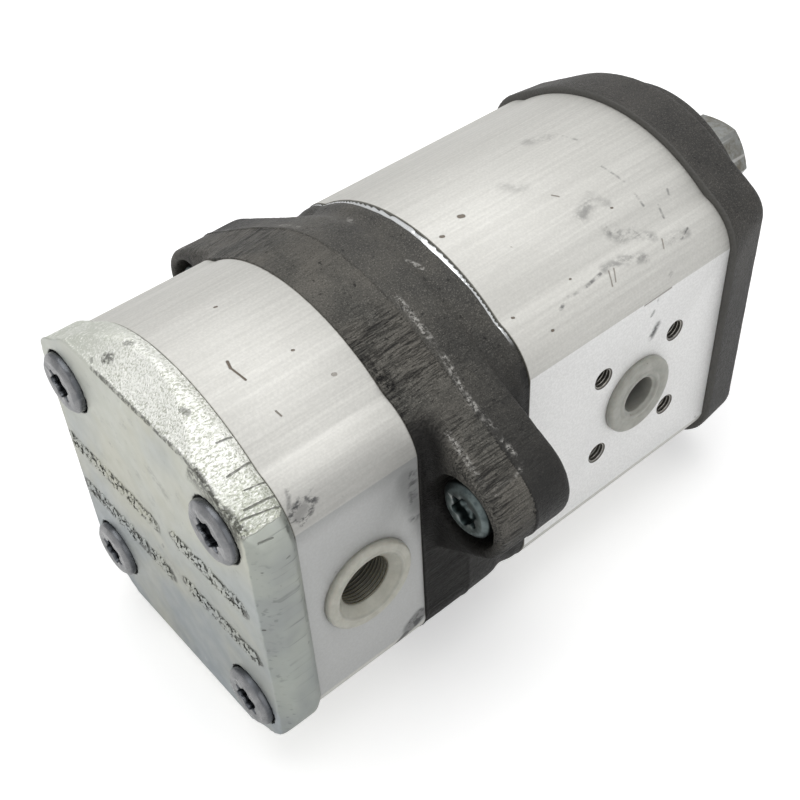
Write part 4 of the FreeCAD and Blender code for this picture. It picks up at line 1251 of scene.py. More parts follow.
def run_tree(piece: bpy.types.Object, tree: bpy.types.NodeTree, finish: bpy.types.Material,
             values: dict[str, object]) -> bpy.types.Object:
    """Runs a Geometry Nodes tree on a piece and keeps the plain mesh.

    Args:
        piece: The piece.
        tree: The tree.
        finish: The material that the tree sets.
        values: The tree's other inputs, by their names.

    Returns:
        The same piece.
    """
    modifier = piece.modifiers.new(tree.name, "NODES")
    modifier.node_group = tree
    wanted = {**values, "Finish": finish}
    for item in tree.interface.items_tree:
        if item.item_type == "SOCKET" and item.in_out == "INPUT" and item.name in wanted:
            modifier[item.identifier] = wanted[item.name]
    return settle(piece)


@dataclass
class Workshop:
    """What every sub-assembly needs: the shared effects and the trees."""

    effects: Effects
    trees: Trees


@dataclass
class CastPart:
    """A casting made from its CAD solid: remeshed finely, rounded and given its skin."""

    node: str
    shop: Workshop
    finish: Finish
    slot: str = "black_casting"
    voxel: float = 0.6 * MM
    rounding: int = 4
    grain: tuple[float, float] = (700.0, 0.08 * MM)
    lumps: tuple[float, float] = (130.0, 0.25 * MM)
    grooves: tuple[float, float] = (420.0, 0.0)
    rim_rise: float = -1.0
    overlap: float = 0.0

    def build(self) -> bpy.types.Material:
        """Builds the casting and puts it in place of its node.

        Returns:
            The casting's material.
        """
        low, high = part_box(self.node)
        material = self.finish.make(self.shop.effects)
        piece = merged_copy(self.node, self.node + "_casting")
        remesh = piece.modifiers.new("fine", "REMESH")
        remesh.mode = "VOXEL"
        remesh.voxel_size = self.voxel
        settle(piece)
        run_tree(piece, self.shop.trees.skin, material, {
            "Grain scale": self.grain[0], "Grain depth": self.grain[1],
            "Lump scale": self.lumps[0], "Lump depth": self.lumps[1],
            "Groove scale": self.grooves[0], "Groove depth": self.grooves[1],
            "Low end": low.x, "High end": high.x, "Rounding": self.rounding,
            "Middle": (low.z + high.z) / 2, "Rim rise": self.rim_rise, "Overlap": self.overlap,
        })
        piece.data.shade_smooth()
        dress(piece, material, [self.node])
        return material


@dataclass(frozen=True)
class FlangeHoles:
    """The four tapped holes around a port of the front pump."""

    circle: float
    radius: float
    pitch: float


FLANGE_HOLES = {
    Side.OUTLET: FlangeHoles(40.0 * MM, 3.0 * MM, 1.0 * MM),
    Side.INLET: FlangeHoles(55.0 * MM, 4.0 * MM, 1.25 * MM),
}


@dataclass
class PumpBodies:
    """The two extruded bodies, with the scuffs and pits of their handling, and painted light and shade."""

    shop: Workshop
    edge: float = 0.25 * MM
    port_middle: tuple[float, float] = (-50.0, -17.5)
    # Painted light and shade: the front body's flat port faces lighter, the rear body's darker.
    milled_lit_and_shaded: dict[str, Colour] = field(default_factory=lambda: {
        "front_body": srgb(244, 244, 243), "rear_body": srgb(190, 191, 190),
    })

    def _front_scuffs(self) -> tuple[Mark, ...]:
        """Lists the dirty smears and thin arcs of the front body.

        Returns:
            The marks.
        """
        shoulder = (
            smear((-48.8, -22.3, 33.2), (-53.6, -24.1, 32.3), 3.0, 0.5),
            smear((-44.0, -24.5, 32.2), (-46.5, -20.5, 34.0), 2.2, 0.3),
            smear((-48.8, -30.1, 28.8), (-46.9, -32.3, 27.3), 3.4, 0.6),
            smear((-46.9, -32.3, 27.3), (-42.8, -33.3, 26.5), 2.8, 0.6),
            smear((-42.8, -33.3, 26.5), (-38.7, -36.2, 25.1), 2.2, 0.55),
            smear((-57.4, -36.6, 24.9), (-51.8, -37.0, 24.7), 2.2, 0.5),
            smear((-51.8, -37.0, 24.7), (-45.1, -39.3, 23.3), 2.4, 0.5),
            smear((-35.5, -38.8, 23.6), (-29.0, -39.5, 23.0), 2.2, 0.5),
            smear((-39.2, -44.0, 17.5), (-40.4, -44.2, 16.8), 1.2, 0.5),
        )
        top = (
            smear((-36.4, 1.1, 38.0), (-34.5, -4.1, 37.8), 0.7, 0.5),
            smear((-44.9, 4.3, 37.8), (-39.1, 2.0, 38.0), 2.6, 0.35),
            smear((-63.6, -6.7, 37.6), (-60.0, -9.0, 37.0), 3.2, 0.25),
            smear((-30.9, -30.9, 28.3), (-31.7, -33.7, 26.2), 0.6, 0.6),
            smear((-25.2, -28.9, 29.6), (-25.8, -30.0, 28.9), 0.6, 0.55),
        )
        face = (
            smear((-46.2, -45.2, 9.5), (-47.0, -45.2, 8.4), 0.9, 0.7),
            smear((-44.6, -45.2, 13.5), (-45.0, -45.2, 12.5), 0.8, 0.5),
            smear((-44.0, -45.2, 3.6), (-46.0, -45.2, 0.6), 1.9, 0.95),
            smear((-19.5, -45.2, -48.1), (-18.0, -45.2, -49.0), 0.8, 0.6),
        )
        arcs = (
            trail(((-36.7, -15.5, 35.7), (-34.7, -22.5, 33.1), (-35.0, -29.2, 29.4)), 0.6, 0.6)
            + trail(((-75.8, -39.1, 23.5), (-72.1, -37.7, 24.4), (-66.2, -38.0, 24.2),
                     (-59.4, -37.1, 24.7)), 0.7, 0.75)
            + trail(((-35.2, -38.3, 24.0), (-35.3, -39.9, 22.8), (-31.1, -40.0, 22.7),
                     (-27.8, -38.9, 23.6)), 0.5, 0.8)
        )
        return shoulder + top + face + arcs

    def _front_pits(self) -> tuple[Mark, ...]:
        """Lists the brown pits and thin ticks of the front body.

        Returns:
            The marks.
        """
        return (
            pit((-80.3, -7.5, 37.5), 0.8), pit((-88.9, -10.1, 37.1), 0.55), pit((-81.0, -41.4, 21.3), 0.4),
            pit((-67.7, -34.3, 25.9), 0.3), pit((-88.3, -34.9, 25.7), 0.4), pit((-43.9, -25.9, 31.4), 0.35),
            scratch((-55.4, -15.4, 35.7), (-54.1, -16.7, 35.3), 0.3, 0.6),
            scratch((-36.9, -37.9, 24.2), (-38.1, -39.8, 22.9), 0.3, 0.55),
            scratch((-56.9, -37.6, 24.4), (-58.5, -40.6, 22.2), 0.3, 0.55),
            scratch((-55.1, -37.7, 24.3), (-56.9, -40.2, 22.5), 0.3, 0.55),
            scratch((-50.4, -45.2, 13.8), (-40.0, -45.2, 14.0), 0.3, 0.6),
        )

    def _bolt_holes(self, side: Side) -> tuple[Mark, ...]:
        """Lists the painted shade on the walls of the four flange holes on one side.

        Args:
            side: The side.

        Returns:
            The marks.
        """
        holes = FLANGE_HOLES[side]
        reach = holes.circle / MM / math.sqrt(8.0)
        radius = holes.radius / MM
        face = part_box("front_body")[1].y / MM * side.value
        along, up = self.port_middle
        return tuple(hole_shade((along + x * reach, face, up + z * reach), -side.value, radius)
                     for x in (-1, 1) for z in (-1, 1))

    def _rear_scuffs_and_shade(self) -> tuple[Mark, ...]:
        """Lists the oily dirt and the painted shade on the rear body's edges and port face.

        Returns:
            The marks.
        """
        joint_dirt = (-159.4, -43.4, 18.8), (-161.8, -43.9, 17.8)
        face_dirt = (-130.8, -45.2, -45.6), (-133.8, -45.2, -47.6)
        off_edge = (0.0, -0.6, 0.6)
        shoulder = (
            Mark(*joint_dirt, 3.0, 0.6, 0.9, False, off_edge),
            Mark(*joint_dirt, 3.4, 1.0, 0.4, True, off_edge),
            smear((-157.0, -43.1, 19.2), (-161.8, -43.9, 17.8), 3.4, 1.0),
            smear((-156.0, -42.0, 20.5), (-158.5, -43.4, 18.6), 1.8, 0.8),
            smear((-161.0, -40.0, 22.5), (-162.8, -42.5, 19.8), 1.2, 0.7),
            smear((-140.3, -41.9, 20.8), (-142.5, -42.5, 19.8), 1.6, 0.45),
            smear((-150.0, -44.5, 16.0), (-147.0, -44.8, 15.5), 1.0, 0.4),
            # Painted shade along the whole shoulder.
            Mark((-162.0, -44.5, 17.5), (-134.0, -44.5, 17.5), 9.0, 0.3, 0.8, False),
        )
        face = (
            smear((-130.6, -45.2, 9.0), (-130.2, -45.2, -6.0), 3.0, 0.8),
            # Painted shade on the port face beside the lug.
            Mark((-132.6, -45.2, 10.0), (-130.6, -45.2, -2.0), 4.4, 0.35, 0.9, False),
            Mark(*face_dirt, 3.4, 0.6, 0.5, False), Mark(*face_dirt, 3.2, 1.0, 0.4),
            Mark((-135.4, -45.2, -49.6), (-137.4, -45.2, -51.6), 1.9, 0.9, 0.5, False),
            smear((-154.0, -45.2, -6.0), (-154.8, -45.2, -6.6), 0.7, 0.6),
        )
        return shoulder + face

    def _rear_pits(self) -> tuple[Mark, ...]:
        """Lists the hooked scratch and the small spots of the rear body.

        Returns:
            The marks.
        """
        return (
            scratch((-154.1, -11.0, 36.9), (-154.6, -12.8, 36.4), 0.45, 0.9),
            scratch((-154.6, -12.8, 36.4), (-153.7, -17.1, 35.2), 0.35, 0.9),
            pit((-140.3, -16.6, 35.4), 0.35), pit((-136.1, -25.8, 31.4), 0.55, 0.5),
            scratch((-152.6, -26.2, 31.2), (-152.2, -27.6, 30.5), 0.3, 0.7), pit((-145.8, 5.9, 37.7), 0.4),
        )

    def build(self) -> None:
        """Builds both bodies."""
        holes = self._bolt_holes(Side.OUTLET) + self._bolt_holes(Side.INLET)
        marks = {"front_body": self._front_scuffs(), "rear_body": self._rear_scuffs_and_shade()}
        pits = {"front_body": self._front_pits(), "rear_body": self._rear_pits()}
        for node in marks:
            piece = merged_copy(node, node + "_extrusion")
            soften(piece, self.edge)
            low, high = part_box(node)
            finish = DrawnAluminium(node + "_aluminium", high.y, low.x, high.x, marks[node], pits[node],
                                    holes if node == "front_body" else (), self.milled_lit_and_shaded[node])
            dress(piece, finish.make(self.shop.effects), [node])


@dataclass
class CapScrews:
    """Star-drive cap screws, repeated over their pattern and each turned as it was tightened."""

    node: str
    shop: Workshop
    finish: TurnedMetal
    head_radius: float
    head_height: float
    rows: int = 2
    columns: int = 2
    shank_radius: float = 5.0 * MM
    socket_outer: float = 4.6 * MM
    socket_inner: float = 3.5 * MM
    socket_depth: float = 3.0 * MM
    bevel: float = 1.5 * MM
    segments: int = 96
    seed: int = 14

    def _rings(self, length: float) -> list[Ring]:
        """Lays out the screw's rings, with its head's face at X = 0.

        Args:
            length: The screw's whole length.

        Returns:
            The rings, from the socket's floor over the head to the shank's end.
        """
        rim, under, depth = self.head_radius, self.head_height, self.socket_depth
        face = rim - self.bevel
        foot = self.bevel * 0.62
        inner = star(self.socket_outer, self.socket_inner)
        mouth = star(self.socket_outer + 0.15 * MM, self.socket_inner + 0.15 * MM)
        # The inside values paint shade down the socket.
        socket = [
            Ring(depth + 0.4 * MM, 1.0 * MM, 0.3), Ring(depth, inner, 0.5), Ring(depth * 0.8, inner, 0.9),
            Ring(depth * 0.5, inner, 1.0), Ring(0.25 * MM, inner, 0.9), Ring(0.05 * MM, mouth, 0.1),
        ]
        # The inside values paint a dark reflection on the head's chamfer and side wall.
        head = [
            Ring(0.02 * MM, face * 0.9), Ring(0.0, face - 0.1 * MM), Ring(0.04 * MM, face + 0.05 * MM),
            Ring(foot - 0.1 * MM, rim - 0.35 * MM, 0.3), Ring(foot + 0.05 * MM, rim - 0.15 * MM, 0.6),
            Ring(foot + 0.4 * MM, rim, 0.9), Ring(under - 0.4 * MM, rim, 1.0), Ring(under, rim - 0.4 * MM),
        ]
        shank = [
            Ring(under, self.shank_radius), Ring(length - 0.8 * MM, self.shank_radius),
            Ring(length, self.shank_radius - 0.8 * MM),
        ]
        return socket + head + shank

    def build(self) -> None:
        """Builds the whole pattern as one piece, at the places that the node's box gives."""
        low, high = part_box(self.node)
        material = self.finish.make(self.shop.effects)
        piece = link_mesh(self.node + "_turned",
                          ring_stack(self.node, self._rings(high.x - low.x), self.segments))
        head = 2.0 * self.head_radius
        run_tree(piece, self.shop.trees.pattern, material, {
            "Width": high.y - low.y - head, "Height": high.z - low.z - head, "Columns": self.columns,
            "Rows": self.rows, "Centre": Vector((low.x, (low.y + high.y) / 2, (low.z + high.z) / 2)),
            "Turn": math.pi, "Seed": self.seed,
        })
        dress(piece, material, [self.node])


@dataclass
class Screws:
    """The cap screws that show: four in the rear cover and two in the lugs."""

    shop: Workshop
    plated: TurnedMetal = TurnedMetal("screw_zinc", srgb(156, 156, 157), srgb(134, 135, 137), 0.2)
    # The lug screws get a darker colour for their painted shade and dark reflection.
    blue: TurnedMetal = TurnedMetal("lug_screw_zinc", srgb(116, 126, 126), srgb(78, 87, 88), 0.34,
                                    painted_shade_tone=srgb(30, 42, 42))

    def build(self) -> None:
        """Builds both patterns."""
        CapScrews("rear_cover_screws", self.shop, self.plated, 8.4 * MM, 6.0 * MM).build()
        CapScrews("lug_screws", self.shop, self.blue, 7.8 * MM, 7.0 * MM, rows=1, seed=5).build()


@dataclass
class PortPlug:
    """A transport plug, turned about its port's axis, in a threaded or a plain port."""

    node: str
    shop: Workshop
    finish: SoftMaterial
    side: Side
    flange: float
    hole: float
    mouth: float
    stem: float
    depth: float
    stem_end: float
    height: float = 2.0 * MM
    groove: float = 0.25 * MM
    lip: float = 0.35 * MM
    round_edge: float = 1.0 * MM
    segments: int = 128
    ridge_count: int = 0
    ridge_pitch: float = 1.0 * MM
    ridge_size: float = 0.3 * MM

    def _bore(self) -> list[Ring]:
        """Lays out the rings of the plug's hole.

        Returns:
            The rings, from the hole's floor to its mouth.
        """
        top, lip = self.height, self.lip
        cone = self.mouth - self.hole
        floor = top - self.depth
        # The inside values paint shade in the hole, darkest at its floor.
        rings = [Ring(floor, self.hole - lip, 1.0), Ring(floor + lip, self.hole, 1.0)]
        if cone > 0.0:
            return rings + [
                Ring(top - cone - lip, self.hole, 0.35),
                Ring(top - cone + lip * 0.2, self.hole + lip * 0.5, 0.12),
                Ring(top - 2.2 * lip, self.mouth - lip * 0.8, 0.05), Ring(top - lip * 0.7, self.mouth, 0.3),
            ]
        return rings + [Ring(top - lip, self.hole, 0.15), Ring(top - lip * 0.3, self.hole + lip * 0.3)]

    def _rings(self) -> list[Ring]:
        """Lays out all the plug's rings, with its seat at X = 0.

        Returns:
            The rings, from the hole's floor over the flange to the inner end.
        """
        top, lip, edge = self.height, self.lip, self.round_edge
        face = top - 0.05 * MM
        inner = max(self.mouth, self.hole)
        groove = inner + 0.3 * (self.flange - inner)
        # The inside values paint shade at the mouth, down the flange's rounded edge and at its seat.
        rings = self._bore() + [
            Ring(face, inner + lip, 0.3), Ring(face, groove - lip), Ring(top - self.groove, groove),
            Ring(face, groove + lip), Ring(top, self.flange - 1.3 * MM),
        ]
        for step in range(6):
            turn = math.radians(18.0 * step)
            reach = self.flange - edge + edge * math.sin(turn)
            rings.append(Ring(top - edge * (1.0 - math.cos(turn)), reach, 0.06 * step))
        return rings + [
            Ring(0.0, self.flange, 0.3), Ring(0.0, self.stem), Ring(self.stem_end + 0.6 * MM, self.stem),
            Ring(self.stem_end, self.stem - 0.6 * MM),
        ]

    def _stand(self) -> Matrix:
        """Works out where the plug stands.

        Returns:
            What turns +X to the port's side and moves the seat to the port.
        """
        low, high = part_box(self.node)
        middle = (low + high) / 2
        seat = low.y + self.height if self.side is Side.OUTLET else high.y - self.height
        turn = Matrix.Rotation(self.side.value * math.pi / 2, 4, "Z")
        return Matrix.Translation((middle.x, seat, middle.z)) @ turn

    def _thread(self, stand: Matrix) -> None:
        """Builds the ridges inside the plug.

        Args:
            stand: Where the plug stands.
        """
        inside = SoftMaterial(self.node + "_inside", srgb(104, 100, 82), srgb(72, 68, 54), 0.2)
        finish = inside.make(self.shop.effects)
        ridges = link_mesh(self.node + "_ridges", bpy.data.meshes.new("ridges"))
        run_tree(ridges, self.shop.trees.ridges, finish, {
            "Radius": self.hole, "Pitch": self.ridge_pitch, "Count": self.ridge_count,
            "Thickness": self.ridge_size,
        })
        first = self.height - self.depth + self.ridge_pitch
        ridges.data.transform(stand @ Matrix.Translation((first, 0.0, 0.0)))
        ridges.data.shade_smooth()
        dress(ridges, finish)

    def build(self) -> None:
        """Builds the plug and the ridges inside it."""
        stand = self._stand()
        mesh = ring_stack(self.node, self._rings(), self.segments)
        mesh.transform(stand)
        piece = link_mesh(self.node + "_moulding", mesh)
        dress(piece, self.finish.make(self.shop.effects), [self.node])
        if self.ridge_count:
            self._thread(stand)


@dataclass
class Plugs:
    """The four transport plugs: grey in the plain front ports, cream in the threaded rear ports."""

    shop: Workshop
    grey: SoftMaterial = SoftMaterial("front_plug_plastic", srgb(168, 168, 160),
                                      srgb(152, 152, 144), 0.3, 0.05)
    cream: SoftMaterial = SoftMaterial("rear_plug_plastic", srgb(188, 187, 176),
                                       srgb(172, 171, 160), 0.3, 0.05)

    def build(self) -> None:
        """Builds all four."""
        front = {"shop": self.shop, "finish": self.grey, "depth": 7.0 * MM, "stem_end": -9.0 * MM}
        rear = {"shop": self.shop, "finish": self.cream, "depth": 12.0 * MM, "stem_end": -12.5 * MM,
                "ridge_count": 9}
        PortPlug("front_outlet_plug", side=Side.OUTLET, flange=12.0 * MM, hole=5.5 * MM, mouth=6.3 * MM,
                 stem=9.9 * MM, **front).build()
        PortPlug("front_inlet_plug", side=Side.INLET, flange=16.5 * MM, hole=8.2 * MM, mouth=9.0 * MM,
                 stem=13.4 * MM, **front).build()
        PortPlug("rear_outlet_plug", side=Side.OUTLET, flange=13.0 * MM, hole=7.35 * MM, mouth=9.7 * MM,
                 stem=8.9 * MM, **rear).build()
        PortPlug("rear_inlet_plug", side=Side.INLET, flange=15.5 * MM, hole=9.2 * MM, mouth=11.5 * MM,
                 stem=10.9 * MM, **rear).build()


@dataclass
class Threads:
    """The thread ridges in the tapped holes on both sides."""

    shop: Workshop
    count: int = 10
    ridge_size: float = 0.3 * MM
    countersink: float = 0.6 * MM

    def _one_side(self, side: Side, holes: FlangeHoles) -> None:
        """Builds the ridges of one side's holes as one piece.

        Args:
            side: The side.
            holes: The sizes of its holes.
        """
        plug_low, plug_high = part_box("front_outlet_plug")
        middle = (plug_low + plug_high) / 2
        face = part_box("front_body")[0 if side is Side.OUTLET else 1].y
        name = "front_" + side.name.lower() + "_threads"
        metal = TurnedMetal(name + "_metal", srgb(96, 87, 68), srgb(54, 48, 38), 0.2)
        finish = metal.make(self.shop.effects)
        piece = link_mesh(name, bpy.data.meshes.new(name))
        run_tree(piece, self.shop.trees.ridges, finish, {
            "Radius": holes.radius, "Pitch": holes.pitch, "Count": self.count, "Thickness": self.ridge_size,
        })
        piece.data.transform(Matrix.Translation((self.countersink, 0.0, 0.0)))
        spacing = holes.circle / math.sqrt(2.0)
        run_tree(piece, self.shop.trees.pattern, finish, {
            "Width": spacing, "Height": spacing, "Centre": Vector((middle.x, face, middle.z)),
            "Facing": Vector((0.0, 0.0, -side.value * math.pi / 2)),
        })
        piece.data.shade_smooth()
        dress(piece, finish)

    def build(self) -> None:
        """Builds both sides."""
        for side, holes in FLANGE_HOLES.items():
            self._one_side(side, holes)


@dataclass
class RearCover:
    """The plated rear cover with its raised rough strips.

    A strip is its middle across and up from the cover's middle, its length and its width, in
    millimetres. The rim's normal is that of its sloping upper part.
    """

    shop: Workshop
    rim_normal: Point = (0.0, -0.47, 0.79)
    strips: tuple[tuple[float, float, float, float], ...] = (
        (22.0, 5.0, 40.0, 5.0), (20.5, -13.3, 41.0, 5.0), (-22.8, 8.0, 28.0, 5.0), (-24.0, -9.7, 29.0, 5.0),
    )
    lump_columns: int = 20
    lump_rows: int = 4
    lump_size: float = 1.3 * MM
    lump_height: float = 0.6 * MM
    first_seed: int = 11

    def _cuts(self) -> tuple[Mark, ...]:
        """Lists the thin cuts across the upper rim and on the grey side.

        Returns:
            The marks.
        """
        down = self.rim_normal
        rim = (
            scratch((-168.5, -26.6, 32.8), (-164.6, -26.5, 31.7), 0.3, 0.8, down),
            scratch((-170.7, -32.9, 28.8), (-163.5, -31.9, 27.6), 0.35, 0.8, down),
            scratch((-169.4, -36.8, 26.6), (-163.7, -36.7, 24.9), 0.25, 0.8, down),
            scratch((-171.9, -39.9, 24.8), (-164.3, -39.9, 23.4), 0.35, 0.8, down),
            scratch((-173.6, -41.0, 23.9), (-163.7, -41.6, 21.1), 0.3, 0.8, down),
        )
        side = (
            scratch((-172.8, -45.0, 19.0), (-169.5, -45.4, 18.4), 0.35, 0.6),
            scratch((-173.7, -45.4, 10.0), (-167.1, -47.1, 11.8), 0.3, 0.55),
            pit((-175.4, -44.0, -10.9), 0.4),
        )
        return rim + side

    def _crevices(self) -> tuple[Mark, ...]:
        """Lists the dark seams along the rim and the pits in it.

        Returns:
            The marks.
        """
        down = self.rim_normal
        edge = (
            trail(((-176.0, 14.0, 31.8), (-176.0, -7.7, 31.8), (-176.0, -17.5, 31.8),
                   (-176.0, -27.6, 31.2)), 0.9, 0.85)
            + trail(((-176.0, -27.6, 31.2), (-175.8, -34.0, 30.0), (-176.0, -38.5, 27.5)), 1.4, 1.0, down)
            + trail(((-176.0, -38.5, 27.5), (-175.0, -42.7, 22.4)), 2.2, 1.0, down)
            + trail(((-163.7, -20.0, 34.1), (-163.5, -31.0, 28.2), (-163.7, -36.7, 24.9),
                     (-163.8, -41.3, 21.4)), 0.6, 0.9, down)
        )
        pits = (
            Mark((-173.0, 11.7, 34.6), (-172.0, 10.5, 35.0), 1.8, 0.9),
            Mark((-168.5, 8.9, 38.9), (-167.5, 7.5, 39.0), 1.2, 0.6),
            Mark((-170.4, -16.6, 37.1), (-169.6, -18.0, 36.6), 1.2, 0.6),
        )
        return edge + pits

    def _shade_between_lumps(self) -> tuple[Mark, ...]:
        """Lists the painted shade between the raised marks of each strip.

        Returns:
            The marks.
        """
        low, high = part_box("rear_cover")
        face, middle = low.x / MM, (low.z + high.z) / 2 / MM
        return tuple(
            Mark((face, across - length / 2, middle + up), (face, across + length / 2, middle + up),
                 width * 0.72, 0.95, 0.4)
            for across, up, length, width in self.strips)

    def _blots(self) -> tuple[Mark, ...]:
        """Lists the grey stains on the smooth rear face.

        Returns:
            The marks.
        """
        return (
            Mark((-176.0, 15.9, 5.6), (-176.0, 15.4, 5.0), 0.6, 0.6),
            Mark((-176.0, -0.1, -19.5), (-176.0, 0.4, -20.4), 0.7, 0.6),
            smear((-176.0, -4.0, 12.0), (-176.0, -10.0, 8.0), 2.5, 0.3),
            smear((-176.0, 3.0, -24.0), (-176.0, -5.0, -26.0), 3.0, 0.25),
        )

    def build(self) -> None:
        """Builds the cover and its strips."""
        low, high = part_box("rear_cover")
        middle = (low.z + high.z) / 2
        finish = PlatedCasting("zinc_plated_casting", low.x, middle, cuts=self._cuts(),
                               crevices=self._crevices(), hollows=self._shade_between_lumps(), blots=self._blots())
        material = CastPart("rear_cover", self.shop, finish, "plated_casting", voxel=0.55 * MM, rounding=2,
                            grain=(1000.0, 0.3 * MM), lumps=(110.0, 0.2 * MM),
                            rim_rise=finish.rim_rise).build()
        for index, (across, up, length, width) in enumerate(self.strips):
            strip = link_mesh("rear_cover_strip_%d" % (index + 1), bpy.data.meshes.new("strip"))
            run_tree(strip, self.shop.trees.marks, material, {
                "Length": length * MM, "Width": width * MM * 0.8, "Columns": self.lump_columns,
                "Rows": self.lump_rows, "Lump size": self.lump_size, "Lump height": self.lump_height,
                "Seed": self.first_seed + index,
                "Centre": Vector((low.x, across * MM, middle + up * MM)),
            })
            strip.data.shade_smooth()
            dress(strip, material)


@dataclass
class ShaftEnd:
    """The washer and the nut on the drive shaft's tapered end."""

    shop: Workshop
    edges: dict[str, float] = field(default_factory=lambda: {
        "shaft_washer": 0.8 * MM, "shaft_nut": 2.4 * MM,
    })

    def build(self) -> None:
        """Builds both."""
        steel = TurnedMetal("nut_metal", srgb(150, 152, 150), srgb(112, 107, 95), 0.36)
        material = steel.make(self.shop.effects)
        for node, edge in self.edges.items():
            piece = merged_copy(node, node + "_turned")
            soften(piece, edge, 5)
            dress(piece, material, [node], DRIVE_SHAFT)


@dataclass
class InnerParts:
    """The pieces inside the housing, whose CAD meshes stay and only get a finish."""

    shop: Workshop
    finishes: dict[str, Finish] = field(default_factory=lambda: {
        "shaft_steel": TurnedMetal("ground_steel", srgb(170, 170, 168), srgb(140, 138, 132), 0.26),
        "screw_steel": TurnedMetal("hidden_screw_steel", srgb(150, 150, 150), srgb(120, 120, 120)),
        "block_aluminium": TurnedMetal("block_metal", srgb(206, 206, 204), srgb(184, 184, 180), 0.34),
        "bush_metal": TurnedMetal("bush_bronze", srgb(170, 128, 78), srgb(138, 98, 58), 0.36),
        "seal_rubber": SoftMaterial("seal_rubber", srgb(34, 34, 34), srgb(26, 26, 26), 0.6),
        "support_plastic": SoftMaterial("support_plastic", srgb(226, 222, 206), srgb(210, 205, 188), 0.5),
    })

    def build(self) -> None:
        """Gives each CAD node that still shows the finish of its slot."""
        made: dict[str, bpy.types.Material] = {}
        for part in FRAME["record"]["subparts"]:
            node = FRAME["nodes"][part["node"]]
            slot = part["material_slot"]
            if node.hide_render or slot not in self.finishes:
                continue
            if slot not in made:
                made[slot] = self.finishes[slot].make(self.shop.effects)
            for holder in node.material_slots:
                holder.material = made[slot]
            LOG.info("%s keeps its mesh, in %s", node.name, slot)


